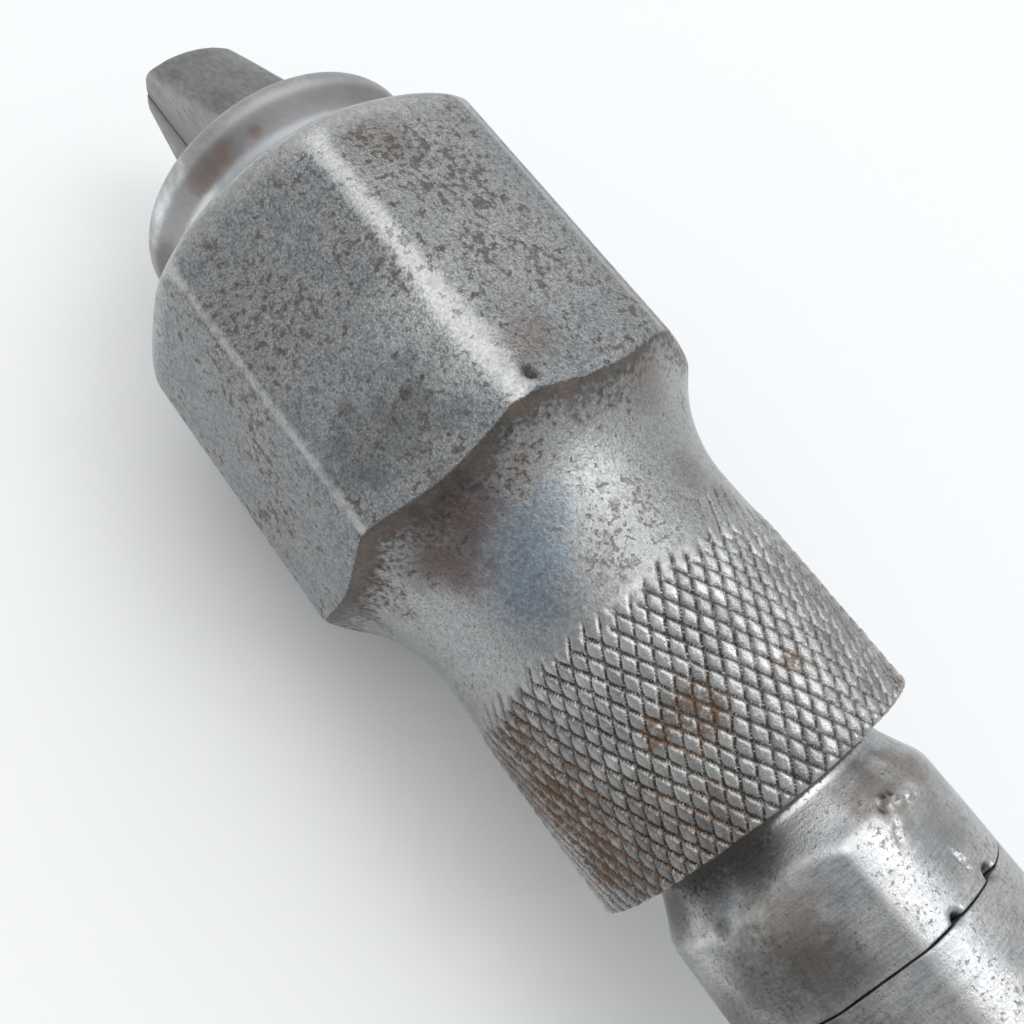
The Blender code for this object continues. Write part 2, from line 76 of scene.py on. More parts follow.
class Wire:  # an output socket that can stand in a sum
    def __init__(self, finish, socket):
        self.finish = finish
        self.socket = socket

    def sum(self, word, first, second):
        return self.finish.node("ShaderNodeMath", {"operation": word}, {0: first, 1: second})

    def __add__(self, other): return self.sum("ADD", self, other)
    def __radd__(self, other): return self.sum("ADD", other, self)
    def __sub__(self, other): return self.sum("SUBTRACT", self, other)
    def __rsub__(self, other): return self.sum("SUBTRACT", other, self)
    def __mul__(self, other): return self.sum("MULTIPLY", self, other)
    def __rmul__(self, other): return self.sum("MULTIPLY", other, self)
    def __truediv__(self, other): return self.sum("DIVIDE", self, other)
    def __rtruediv__(self, other): return self.sum("DIVIDE", other, self)


class Finish:  # the nodes of one material, or of the world
    def __init__(self, owner, shader="Principled BSDF"):
        owner.use_nodes = True
        self.owner = owner
        self.tree = owner.node_tree
        self.shader = self.tree.nodes[shader]

    def node(self, kind, settings=None, sockets=None, out=0):
        made = self.tree.nodes.new(kind)
        for word, value in (settings or {}).items():
            setattr(made, word, value)
        for key, value in (sockets or {}).items():
            self.plug(made.inputs[key], value)
        return Wire(self, made.outputs[out])

    def plug(self, socket, value):
        if isinstance(value, Wire):
            self.tree.links.new(value.socket, socket)
        elif socket.type == "RGBA":
            socket.default_value = (*value[:3], 1)
        else:
            socket.default_value = value

    def marks(self, *names):  # values stored on the piece's corners
        return [self.node("ShaderNodeAttribute", {"attribute_name": name}, out="Fac") for name in names]

    def part(self, vector, index):
        return self.node("ShaderNodeSeparateXYZ", None, {0: vector}, index)

    def stretch(self, vector, x, y, z):
        return self.node("ShaderNodeVectorMath", {"operation": "MULTIPLY"}, {0: vector, 1: (x, y, z)})

    def grain(self, vector, size, detail=3, rough=0.55):  # size of a grain in mm
        values = {"Vector": vector, "Scale": 1 / (size * mm), "Detail": detail, "Roughness": rough}
        return self.node("ShaderNodeTexNoise", None, values, "Fac")

    def ease(self, value, low=0.3, high=0.7, start=0, end=1):  # a soft step from low to high
        values = {0: value, 1: low, 2: high, 3: start, 4: end}
        return self.node("ShaderNodeMapRange", {"interpolation_type": "SMOOTHSTEP"}, values)

    def tint(self, share, first, second):
        return self.node("ShaderNodeMix", {"data_type": "RGBA"}, {0: share, 6: first, 7: second}, 2)

    def coats(self, base, *layers):  # colours laid over a base, each with its share
        for share, colour in layers:
            base = self.tint(share, base, colour)
        return base

    def shade(self, colour, level):  # a colour made lighter or darker
        return self.node("ShaderNodeVectorMath", {"operation": "SCALE"}, {0: colour, "Scale": level})

    def blots(self, vector, spots, ragged):  # ragged spots, place and size in mm
        total = 0
        for *centre, size in spots:
            centre = [x * mm for x in centre]
            away = self.node("ShaderNodeVectorMath", {"operation": "DISTANCE"}, {0: vector, 1: centre}, 1)
            spot = self.ease(away / (size * mm) + (ragged - 0.5) * 1.8, 1.1, 0.2)
            total = spot.sum("MAXIMUM", total, spot)
        return total

    def set(self, **sockets):
        for key, value in sockets.items():
            self.plug(self.shader.inputs[key.replace("_", " ")], value)

    def bump(self, height, depth):  # depth in mm
        return self.node("ShaderNodeBump", None, {"Height": height, "Distance": depth * mm, "Strength": 1})


def newFinish(name):  # a new material, and the piece's own coordinates in it
    f = Finish(bpy.data.materials.new(name))
    return f, f.node("ShaderNodeTexCoord", out="Object")


# mesh tools

def circle(count):
    return np.arange(count) * tau / count


def ring(radius, angles, z):  # one ring of points round z, in mm
    radius = np.broadcast_to(radius, angles.shape)
    z = np.broadcast_to(z, angles.shape)
    return np.stack([radius * np.cos(angles), radius * np.sin(angles), z], axis=1)


def joinRings(rings, loop):  # faces between rings of the same or of half the count, with caps if open
    starts = np.cumsum([0] + [len(points) for points in rings])
    pairs = [(k, k + 1) for k in range(len(rings) - 1)]
    faces = []
    if loop:
        pairs.append((len(rings) - 1, 0))
    for a, b in pairs:
        fine, coarse = (a, b) if len(rings[a]) >= len(rings[b]) else (b, a)
        i = np.arange(len(rings[coarse]))
        step = len(rings[fine]) // len(i)
        along = [(step * i + k) % len(rings[fine]) + starts[fine] for k in range(step + 1)]
        block = [*along, (i + 1) % len(i) + starts[coarse], i + starts[coarse]]
        faces += np.stack(block, axis=1).tolist()
    if not loop:
        faces.append(list(range(starts[0], starts[1])))
        faces.append(list(range(starts[-2], starts[-1])))
    return faces


class Rows:  # rings of a piece with the values stored on them
    def __init__(self, *words):
        self.rings = []
        self.marks = {word: [] for word in words}

    def add(self, points, **values):
        self.rings.append(points)
        for word, store in self.marks.items():
            store.append(np.broadcast_to(values.get(word, 0), len(points)))


def makePiece(name, rows, place, loop=True, sharp=40):
    mesh = bpy.data.meshes.new(name)
    mesh.from_pydata((np.concatenate(rows.rings) * mm).tolist(), [], joinRings(rows.rings, loop))
    shape = bmesh.new()
    shape.from_mesh(mesh)
    bmesh.ops.recalc_face_normals(shape, faces=shape.faces)
    shape.to_mesh(mesh)
    shape.free()
    for word, values in rows.marks.items():
        stored = mesh.attributes.new(word, "FLOAT", "POINT")
        stored.data.foreach_set("value", np.concatenate(values).astype(np.float32))
    return addPiece(name, mesh, place, sharp)


def newObject(name, data):
    made = bpy.data.objects.new(name, data)
    bpy.context.scene.collection.objects.link(made)
    return made


def addPiece(name, mesh, place, sharp):
    mesh.shade_smooth()
    mesh.set_sharp_from_angle(angle=sharp * degree)
    piece = newObject(name, mesh)
    piece.matrix_world = place
    return piece


def paint(mesh, finish):
    mesh.materials.clear()
    mesh.materials.append(finish.owner)


def dress(piece, body, slotName, finish, *nodes):
    paint(piece.data, finish)
    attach(piece, body)
    if nodes:
        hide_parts(*nodes)


def soften(corners, fixed=0):  # corners (r, z, radius of the rounding) to a smooth profile
    points = []
    for k, (r, z, size) in enumerate(corners):
        if size == 0:
            points.append((r, z))
            continue
        here = Vector((r, z))
        back = Vector(corners[k - 1][:2]) - here
        ahead = Vector(corners[(k + 1) % len(corners)][:2]) - here
        turn = back.angle(ahead)
        reach = min(size / tan(turn / 2), 0.48 * back.length, 0.48 * ahead.length)
        start = here + back.normalized() * reach
        end = here + ahead.normalized() * reach
        steps = fixed or max(2, round((pi - turn) / 0.2))
        for i in range(steps + 1):
            t = i / steps
            near = start.lerp(here, t).lerp(here.lerp(end, t), t)
            points.append((near.x, near.y))
    return points


def spread(points, longest):  # adds points so that no stretch is longer, in mm
    out = []
    for (r0, z0), (r1, z1) in zip(points, points[1:] + points[:1]):
        count = max(1, ceil(hypot(r1 - r0, z1 - z0) / longest))
        out += [(r0 + (r1 - r0) * i / count, z0 + (z1 - z0) * i / count) for i in range(count)]
    return out


def turned(name, corners, place, count=144, closed=True, longest=4, wobble=0):
    profile = soften(corners)
    if closed:
        profile = spread(profile, longest)
    angles = circle(count)
    rows = Rows()
    for r, z in profile:
        drift = wobble * lowNoise(ring(14, angles, z), 9) if wobble else 0
        rows.add(ring(r + drift, angles, z))
    return makePiece(name, rows, place, closed)


def softMin(a, b, width):  # the smaller of two, rounded where they meet
    share = np.clip(0.5 + 0.5 * (b - a) / width, 0, 1)
    return b + (a - b) * share - width * share * (1 - share)


def bell(away):  # 1 in the middle, and soft to 0
    return np.exp(-away ** 2)


def arcDrop(share, radius):  # how far an arc has dropped at a share of its radius
    return radius * (1 - sqrt(1 - share * share))


def smooth(share):  # a soft step from 0 to 1
    share = np.clip(share, 0, 1)
    return share * share * (3 - 2 * share)


def lowNoise(points, size):  # slow noise at points in mm
    return np.array([noise.noise(Vector(p) / size) for p in points])


def chance(first, second):  # a fixed random value from 0 to 1 for two whole numbers
    mixed = np.sin(first * 12.99 + second * 78.23) * 43758.5
    return mixed - np.floor(mixed)


def dentDepth(points, dents):  # small dents (centre, size, depth); a burr has a depth below 0
    return sum(deep * bell(np.linalg.norm(points - centre, axis=1) / size) for *centre, size, deep in dents)


def blockMesh(name, low, high):
    mesh = bpy.data.meshes.new(name)
    shape = bmesh.new()
    low, high = Vector(low) * mm, Vector(high) * mm
    bmesh.ops.create_cube(shape, size=1, matrix=Matrix.LocRotScale((low + high) / 2, None, high - low))
    shape.to_mesh(mesh)
    shape.free()
    return mesh


def carve(name, body, cutter, place):  # cuts a body at the origin with another mesh
    tool = newObject(cutter.name, cutter)
    step = body.modifiers.new(cutter.name, "BOOLEAN")
    step.operation = "DIFFERENCE"
    step.solver = "EXACT"
    step.object = tool
    bpy.context.view_layer.update()
    graph = bpy.context.evaluated_depsgraph_get()
    mesh = bpy.data.meshes.new_from_object(body.evaluated_get(graph))
    mesh.name = name
    bpy.data.batch_remove([body, tool])
    return addPiece(name, mesh, place, sharp=35)


# chuck shell: knurled barrel, hollow flare and octagon

shell = {
    "knurl": 15.47, "edge": 0.4, "blendStart": 15.5, "blendEnd": 20.5, "band": 15.2, "fineEnd": 21.4,
    "coveStart": 22.5, "coveRadius": 13.65, "acrossFlats": 39, "roll": 16.8 * degree, "length": 30.4,
    "frontRound": 2.2, "frontTurn": (4, 3.3), "cornerSoft": 0.95, "crown": 0.28, "rearSoft": 0.9,
    "starts": 68, "lean": 31.5 * degree, "perTooth": 9, "rowStep": 0.2,
    "rows": [(21.7, 31.5, 0.45), (31.5, 35.6, 0.16), (35.6, 61.5, 0.9)],  # past the knurl: from, to, step
    # dirt and painted shade behind the octagon lie heaviest on the side set by sootSide
    # the corner at rubSide is the most worn and is painted lightest, as a highlight
    "sootSide": 40 * degree, "rubSide": 84.3 * degree, "rubHeight": 40, "rubReach": 6,
    "grooves": [(1, 0.32, 0.165, 17.9), (-1, 0.3, 0.16, 18.7)],  # hand, depth, half width, end
    "patch": (124, 9, 19.9, 1.25),  # a last patch of grooves: degrees, half width, height, half length
    "bore": 11.3, "cavity": 16.8, "mouth": 15.1, "threadEnd": 22, "cone": 14, "lip": 6,
    "dents": [(0.4, 20.42, 34.6, 0.6, 0.5), (0.3, 20.42, 35.3, 0.45, 0.3),
              (1.1, 20.45, 34.3, 0.4, -0.22), (0.6, 20.42, 33.8, 0.35, -0.25)],  # place, size, depth
    "rust": [(4.5, 14.6, 8.6, 3.6), (7.4, 13.4, 9, 2.4), (-3.3, 15.1, 7.3, 1.5), (-11.5, 10.4, 0.9, 2.6),
             (14.4, 5.4, 9.5, 5.5), (14.3, 5.7, 15, 3.5), (14.7, 4.7, 4.5, 5)],  # place, size
    "brown": [(-9.1, 15.3, 30.6, 3.4), (-8.3, 12.7, 23.6, 2.6), (-9.8, 11.8, 20.2, 2),
              (10, 16.8, 38.6, 1), (8.2, 17.8, 39.4, 1), (12, 15.7, 42, 0.9),
              (-1.6, 19.9, 37.5, 3.6), (-2.6, 19.6, 59, 4)],
    # dirt and painted shade on the cove and knurl, on the side away from the lamps
    "grimeAndShade": [(10.9, 12.4, 29.6, 4.4), (12.9, 10, 29.6, 3), (13, 8, 4, 9),
              (9, 12.5, 1, 6), (15, 3, 12, 9)],
    # painted shade: the centre flat darker towards its lower end
    "flatLowShade": [(9, 17.6, 37.5, 5), (12.5, 15.3, 38, 5)],
    # painted highlight: lighter lands on top of the knurl
    "knurlGlints": [(2, 15.2, 14.5, 5.5), (-1.5, 15.3, 9, 4)],
    # painted shade: the knurl darker on the side toward the lamps
    "sideShade": [(-10.2, 11.6, 9, 8.5), (-8, 13.2, 2.5, 5)],
    "blue": [(6.5, 13.8, 25.6, 4.6), (8.5, 12.6, 22.5, 4)],
    # painted reflection: the flat on the lamps' side painted lighter
    "skyReflection": [(-5.6, 18.7, 58, 10), (-5.6, 18.7, 46, 10)],
    # painted highlight on the centre flat beside the worn corner
    "sheen": [(4, 19.9, 44, 4.6), (3.5, 20.1, 39, 4.2), (3.2, 20, 62.5, 3.6)],
    "purple": [(9.3, 14.9, 30.2, 4), (11.7, 11.7, 28.2, 3.8)],
}
cornerRadius = shell["acrossFlats"] / 2 / cos(pi / 8)
coveEnd = shell["coveRadius"] * sin(acos(1 - (cornerRadius - shell["band"]) / shell["coveRadius"]))
shellFront = shell["coveStart"] + coveEnd + shell["length"]


def octagonRadius(angles, apothem, width):  # flats with rubbed corners, and how far a corner is
    eighth = pi / 4
    flat = np.round((angles - shell["roll"]) / eighth) * eighth + shell["roll"]
    near = apothem / np.cos(angles - flat)
    side = np.where(angles > flat, eighth, -eighth)
    beyond = apothem / np.cos(angles - flat - side)
    return softMin(near, beyond, width), beyond - near


def shellRing(z, count):
    s = shell
    angles = circle(count)
    drift = lowNoise(ring(18, angles, z), 7)
    back = shellFront - z
    inset = arcDrop(max(0, 1 - back / s["frontRound"]), s["frontRound"])
    side = np.cos(angles - s["rubSide"]) ** 4
    worn = 1 + 1.2 * side * bell((z - s["rubHeight"]) / s["rubReach"])  # most near one corner's rear end
    soft = (s["cornerSoft"] + 0.25 * drift) * worn
    octagon, corner = octagonRadius(angles, s["acrossFlats"] / 2 - inset, soft)
    octagon = octagon - s["crown"] * np.clip(1 - corner / 6.6, 0, 1) ** 4
    reach, fallOff = s["frontTurn"]
    turnedFront = cornerRadius - fallOff * max(0, 1 - back / reach) ** 2
    octagon = softMin(octagon, turnedFront, 0.4)
    reach = min(max(0, z - s["coveStart"]) / s["coveRadius"], 0.985)
    cove = s["band"] + arcDrop(reach, s["coveRadius"])
    radius = softMin(octagon, cove, s["rearSoft"]) + 0.03 * drift
    over = octagon - cove  # above 0 on the hollow, below 0 on the flats
    flat = 1 - smooth((over + 0.25) / 0.4)
    rim = bell((back - 1.6) / 2) * (0.6 + 0.4 * side)
    # worn edges and the front rim, painted lighter as a highlight, most on one corner
    rub = flat * bell(corner / (0.32 + 0.5 * side * worn)) * (0.68 + 0.27 * side / worn ** 2)
    # dirt and painted shade in the corner behind the octagon, heavier on one side
    soot = np.exp(-np.clip(over, 0, 9) / 2.5) * smooth((over + 0.35) / 0.5) * smooth((z - 25) / 5)
    soot = soot * (0.75 + 0.35 * np.cos(angles - s["sootSide"]))
    dent = dentDepth(ring(radius, angles, z), s["dents"])
    rub = np.clip(rub + 0.95 * rim - dent, 0, 1)
    return radius - dent, {"rub": rub, "soot": soot + np.clip(dent * 2.2, 0, 1), "flat": flat}


def knurlRing(z, count):  # crossed grooves between flat lands
    s = shell
    angles = circle(count)
    spots = ring(s["knurl"], angles, z)
    rough = lowNoise(spots, 0.8)
    slow = lowNoise(spots, 3.2)
    ragged = lowNoise(spots * [1, 1, 0], 2.1)
    pitch = tau * s["knurl"] / s["starts"]
    along = z / pitch * tan(s["lean"])
    turns = angles / tau * s["starts"]
    middle, halfWidth, height, halfLength = s["patch"]
    patch = np.exp(-((angles / degree - middle) / halfWidth) ** 4 - ((z - height) / halfLength) ** 4)
    cut, swell, cells, cutShare = 0, 0, [], 1
    for hand, depth, half, end in s["grooves"]:
        turn = turns + hand * along + 0.09 * slow
        phase = turn % 1
        gap = np.minimum(phase, 1 - phase)
        cells.append(np.floor(turn) % s["starts"])
        stop = end + 0.5 * ragged + 1.1 * (chance(np.round(turn) % s["starts"], hand) - 0.5)
        fade = np.maximum(smooth((stop - z) / 0.9), patch * (1.3 if hand < 0 else 0))
        cut = np.maximum(cut, depth * (1 - smooth(gap / half)) * fade)
        swell += (0.24 * (phase - 0.5) * (hand > 0) - 0.12 * (0.5 - gap) ** 2) * fade
        cutShare = np.minimum(cutShare, fade)
    land = (chance(*cells) - 0.5) * cutShare  # each land a little higher and brighter, or lower and darker
    swell += 0.06 * land
    blend = smooth((z - s["blendStart"]) / (s["blendEnd"] - s["blendStart"]))
    fall = arcDrop(max(0, 1 - z / s["edge"]), s["edge"]) * (1 + 0.4 * slow + 0.5 * rough)
    radius = s["knurl"] + (s["band"] - s["knurl"]) * blend - fall
    worn = 0.85 + 0.25 * slow
    radius = radius - cut * worn + swell + 0.014 * rough * (z < s["blendEnd"])
    # the rear rim painted lighter: wear with a painted highlight
    return radius, {"groove": cut / s["grooves"][0][1], "land": land, "rub": 0.45 * bell(z / 0.5)}


def makeShell():
    s = shell
    fine = s["starts"] * s["perTooth"]
    half = fine // 2
    angles, halfAngles = circle(fine), circle(half)
    rows = Rows("rub", "soot", "groove", "flat", "land")
    edge = s["edge"]
    # inside faces darkened: dirt and painted shade
    for r, z, soot in ((s["bore"], edge, 0.6), (s["bore"] + edge, 0, 0.5), (s["knurl"] - edge - 0.3, 0, 0.3)):
        rows.add(ring(r, halfAngles, z), soot=soot)
    for z in [0.02, 0.07, *np.arange(s["rowStep"], s["fineEnd"], s["rowStep"])]:
        radius, marks = knurlRing(z, fine)
        rows.add(ring(radius, angles, z), **marks)
    heights = [np.arange(*stretch) for stretch in s["rows"]]
    heights.append(np.arange(shellFront - 2.5, shellFront - 0.1, 0.2))
    for z in [*np.concatenate(heights), shellFront - 0.06, shellFront]:
        radius, marks = shellRing(z, half)
        rows.add(ring(radius, halfAngles, z), **marks)
    lipRear = shellFront - s["lip"]
    inside = [
        (s["mouth"] + 0.4, shellFront), (s["mouth"], shellFront - 0.4), (s["mouth"], lipRear),
        (s["cavity"], lipRear), (s["cavity"], s["threadEnd"] + s["cone"]), (s["bore"], s["threadEnd"]),
    ]
    # inside faces darkened: dirt and painted shade
    for r, z in inside:
        rows.add(ring(r, halfAngles, z), soot=0.5 if z < shellFront - 0.2 else 0.25)
    piece = makePiece("shell", rows, braceFrame, sharp=50)
    dress(piece, "chuck_shell", "worn_steel", shellSteel(), "chuck_shell")
    print("shell", len(piece.data.polygons), "faces")


def shellSteel():
    f, p = newFinish("shell_steel")
    rub, soot, groove, flat, land = f.marks("rub", "soot", "groove", "flat", "land")
    z = f.part(p, 2)
    broad = f.grain(p, 8)
    cloud = f.grain(p, 2.4, 4, 0.62)
    rot = f.grain(p, 0.75, 5, 0.64)
    grit = f.grain(p, 0.5, 4, 0.66)
    sand = f.grain(p, 0.22, 3, 0.7)
    grains = f.ease(sand, *grainSpan)  # the fine sandy surface, from 0 to 1
    lumps = f.ease(grit, *grainSpan)
    blobs = f.ease(cloud, *grainSpan)
    barrel = f.ease(z, 20.5 * mm, 17.5 * mm)
    plain = (1 - flat) * (1 - barrel)  # the hollow and the band
    calm = 1 - 0.55 * f.ease(rub, 0.15, 0.7)  # rubbed edges, painted lighter as a highlight, are smooth

    def spots(word, ragged=cloud):
        return f.blots(p, shell[word], ragged)

    rusty, brown, grimeAndShade = spots("rust"), spots("brown"), spots("grimeAndShade", 0.5 + 0.5 * (cloud - 0.5))
    pitted = f.ease(broad + 0.9 * (cloud - 0.5), 0.34, 0.66)
    bare = (1 - barrel) * calm  # where pits show
    holes = f.ease(rot + 0.15 * (pitted - 0.5) + 0.05 * brown, 0.555, 0.69) * (1 - 0.75 * plain) * bare
    specks = f.ease(grit + 0.1 * (pitted - 0.5), 0.55, 0.68) * bare
    # dirt and painted shade from the soot mark
    dirtAndShade = f.ease(soot * 1.3 + 0.55 * (lumps - 0.5) + 0.3 * (blobs - 0.5), 0.22, 0.95)
    filth = f.ease(groove + 0.6 * (grit - 0.5), 0.15, 0.85)
    steel = f.coats(
        f.tint(f.ease(broad + 0.5 * (cloud - 0.5)), (0.262, 0.275, 0.284), (0.342, 0.346, 0.345)),
        (plain * 0.5 + barrel * 0.75, (0.43, 0.435, 0.43)),
        # painted highlight on the worn edges and rims, partly real wear
        (f.ease(rub + 0.5 * (grit - 0.5), 0.05, 1) * 0.8, (0.57, 0.573, 0.565)),
        # painted reflection on the flat toward the lamps
        (spots("skyReflection") * flat * 0.5, (0.41, 0.41, 0.405)),
        # painted highlight beside the worn corner
        (spots("sheen", rot) * flat * 0.5, (0.56, 0.565, 0.56)),
        (spots("blue") * 0.55, (0.2, 0.275, 0.36)),
        (spots("purple") * 0.7, (0.17, 0.11, 0.118)),
        # painted highlight on the knurl's upper lands
        (spots("knurlGlints") * barrel * 0.5, (0.6, 0.605, 0.6)),
        # painted shade on the knurl's side toward the lamps
        (spots("sideShade") * barrel * 0.75, (0.27, 0.268, 0.258)),
    )
    level = 0.66 - 0.17 * flat + 0.14 * barrel + (0.34 + 0.2 * flat - 0.2 * barrel) * grains
    level = level + (0.34 + 0.1 * flat - 0.14 * barrel) * lumps
    level = level + 0.16 * flat * (blobs - 0.5) + 0.45 * barrel * land
    earth = f.ease(broad + 0.7 * rusty + 0.25 * grimeAndShade + 0.6 * brown, 0.3, 0.95)
    stained = f.ease(rusty + 0.9 * (lumps - 0.5) + 0.7 * (blobs - 0.5) + 0.15 * filth, 0.45, 1.2) * barrel
    steel = f.coats(
        f.shade(steel, 1 + (level - 1) * calm),
        (brown * 0.4, (0.19, 0.14, 0.11)),
        # dirt and painted shade
        (grimeAndShade * (0.4 + 0.35 * lumps), (0.11, 0.092, 0.08)),
        # painted shade on the centre flat's lower end
        (spots("flatLowShade") * flat * 0.45, (0.1, 0.105, 0.11)),
        (specks * 0.62, (0.1, 0.095, 0.092)),
        (holes * 0.72, f.tint(f.ease(cloud, 0.45, 0.75), (0.062, 0.055, 0.051), (0.15, 0.09, 0.06))),
        (dirtAndShade * 0.85, f.tint(blobs, (0.036, 0.031, 0.028), (0.112, 0.078, 0.057))),
        (filth * 0.8, f.tint(earth, (0.075, 0.064, 0.055), (0.15, 0.085, 0.045))),
        (stained * 0.85, f.tint(lumps, (0.055, 0.036, 0.025), (0.18, 0.1, 0.052))),
    )
    bad = f.ease(holes * 0.7 + dirtAndShade * 0.6 + filth * 0.6 + stained * 0.8, 0.05, 1.3)
    rough = 0.3 + 0.03 * flat - 0.06 * barrel - 0.03 * plain + 0.1 * (grains - 0.5) + 0.28 * bad
    relief = sand * (0.5 + 0.7 * flat) + grit * (0.5 + 1.5 * flat + 0.5 * barrel)
    relief = relief * calm - 1.2 * holes - 0.6 * specks
    f.set(Base_Color=steel, Roughness=rough, Metallic=1 - 0.55 * bad, Normal=f.bump(relief, 0.08))
    return f


# nose ring

noseRing = {
    "radius": 14.6, "collar": 1.2, "groove": 13.7, "grooveRear": 3, "grooveFront": 4.7, "lip": 14.85,
    "lipRound": 1.9, "out": 8.9, "bore": 11.2, "rearBore": 13.3, "slope": tan(20 * degree), "flange": 16.5,
    "flangeGap": 1.6, "hollow": 3.5,
    # painted reflection: the ring lighter on its side toward the crank
    "floorReflection": [(10.8, 9.8, 68.1, 5), (12.8, 7, 68, 5)],
    "stains": [(6.4, 12.3, 69.4, 1.8), (7.4, 11.6, 69.4, 2.3), (8.4, 10.9, 69.4, 2.3),
               (2.9, 13.4, 69.5, 1)],
}
noseFront = shellFront + noseRing["out"]


def satinSteel(name, light, dark, level=0.36):  # turned steel for rings, ferrules and washers
    f, p = newFinish(name)
    lines = f.grain(f.stretch(p, 0.25, 0.25, 4), 0.8, 3, 0.65)
    broad = f.grain(p, 6)
    speck = f.grain(p, 0.45, 4, 0.62)
    spots = f.ease(speck + 0.25 * (broad - 0.5), 0.64, 0.74)
    stain = f.ease(broad + 0.2 * (speck - 0.5), 0.56, 0.74)
    steel = f.shade(f.tint(f.ease(broad), dark, light), 0.75 + 0.3 * lines + 0.2 * speck)
    steel = f.coats(steel, (stain * 0.4, (0.22, 0.16, 0.12)), (spots * 0.6, (0.1, 0.08, 0.07)))
    rough = level + 0.15 * (lines - 0.5) + 0.15 * stain + 0.2 * spots
    relief = lines * 0.5 + speck - spots
    f.set(Base_Color=steel, Roughness=rough, Metallic=1 - 0.4 * spots, Normal=f.bump(relief, 0.02))
    return f


def noseSteel():
    f, p = newFinish("nose_steel")
    z = f.part(p, 2)
    cloud = f.grain(p, 3, 4, 0.6)
    speck = f.grain(p, 0.4, 4, 0.65)
    stain = f.blots(p, noseRing["stains"], cloud)
    middle = noseFront - noseRing["hollow"]
    rise = f.ease(z, (middle - 2) * mm, (middle - 0.4) * mm)
    fall = f.ease(z, (middle + 1.7) * mm, (middle + 0.2) * mm)
    # dirt and painted shade: darker in the ring's hollow
    grimeAndShade = f.ease(rise * fall + 0.5 * (cloud - 0.5) + 0.4 * (speck - 0.5), 0.1, 0.9)
    steel = f.tint(f.ease(cloud), (0.37, 0.375, 0.38), (0.45, 0.445, 0.44))
    steel = f.coats(
        f.shade(steel, 0.75 + 0.5 * speck),
        # painted reflection: the ring lighter between its hollow and the shell
        (f.ease(z, (middle + 0.2) * mm, (middle - 2.2) * mm), (0.54, 0.555, 0.58)),
        # painted reflection from the floor
        (f.blots(p, noseRing["floorReflection"], cloud), (0.92, 0.93, 0.94)),
        (grimeAndShade * 0.6, (0.15, 0.145, 0.145)),
        (stain * grimeAndShade * 0.6, (0.19, 0.12, 0.08)),
    )
    f.set(Base_Color=steel, Roughness=0.58 + 0.12 * (speck - 0.5), Metallic=1 - 0.35 * grimeAndShade,
          Normal=f.bump(speck, 0.03))
    return f


def makeNose():
    n = noseRing
    flange = shellFront - shell["lip"] - n["flangeGap"]
    coneRear = noseFront - (n["rearBore"] - n["bore"]) / n["slope"]
    corners = [
        (n["rearBore"], flange - 4, 0.3), (n["flange"], flange - 4, 0.3), (n["flange"], flange, 0.3),
        (n["radius"], flange, 0.3), (n["radius"], shellFront + n["collar"], 1.2),
        (n["groove"], shellFront + n["grooveRear"], 2), (n["groove"], shellFront + n["grooveFront"], 2),
    ]
    for turn in range(-40, 91, 13):
        r = n["lip"] + n["lipRound"] * (cos(turn * degree) - 1)
        corners.append((r, noseFront + n["lipRound"] * (sin(turn * degree) - 1), 0))
    corners += [(n["bore"], noseFront, 0.5), (n["rearBore"], coneRear, 0.5)]
    piece = turned("nose", corners, braceFrame, count=180, longest=1.5, wobble=0.05)
    dress(piece, "nose_ring", "bright_steel", noseSteel(), "nose_ring")
    print("nose ring done")


# jaws

jaw = {
    "out": 17.7, "tipHeight": 3.4, "tipRound": 1.2, "slope": tan(21.8 * degree), "crown": 7.3, "width": 10,
    "gap": 0.16, "roll": 99.1 * degree, "overlap": 2.2, "head": 9, "tang": 9.2, "tail": 15.8, "tailRound": 2,
    "groove": 4.6, "grooveTip": 2, "grooveTaper": 11.7, "grooveLength": 24, "relief": 2.2, "reliefLap": 1.1,
    "ridge": 1.7, "partingEdge": 0.25,
}
jawTip = noseFront + jaw["out"]


def jawSlice(z, height, half, parting, groove):  # crown, rounded ridges, parting faces and groove
    j = jaw
    radius = j["crown"] + height
    edge = sqrt(radius ** 2 - half ** 2) - j["crown"]
    turns = np.linspace(-0.5, 0.5, 7) * asin(half / radius)
    arc = [(radius * cos(turn) - j["crown"], radius * sin(turn), 0) for turn in turns]
    corners = [
        (parting, -half, j["partingEdge"]), (edge, -half, j["ridge"]), *arc, (edge, half, j["ridge"]),
        (parting, half, j["partingEdge"]), (parting, groove - parting, 0), (groove, 0, 0),
        (parting, parting - groove, 0),
    ]
    points = np.array([(x, y, z) for x, y in soften(corners, fixed=6)])
    away = np.hypot(points[:, 0] - edge, np.abs(points[:, 1]) - half)
    # ridges marked for wear and painted highlight, the parting faces for dirt and painted shade
    return points, bell(away / 1.1), bell(points[:, 0] - parting)


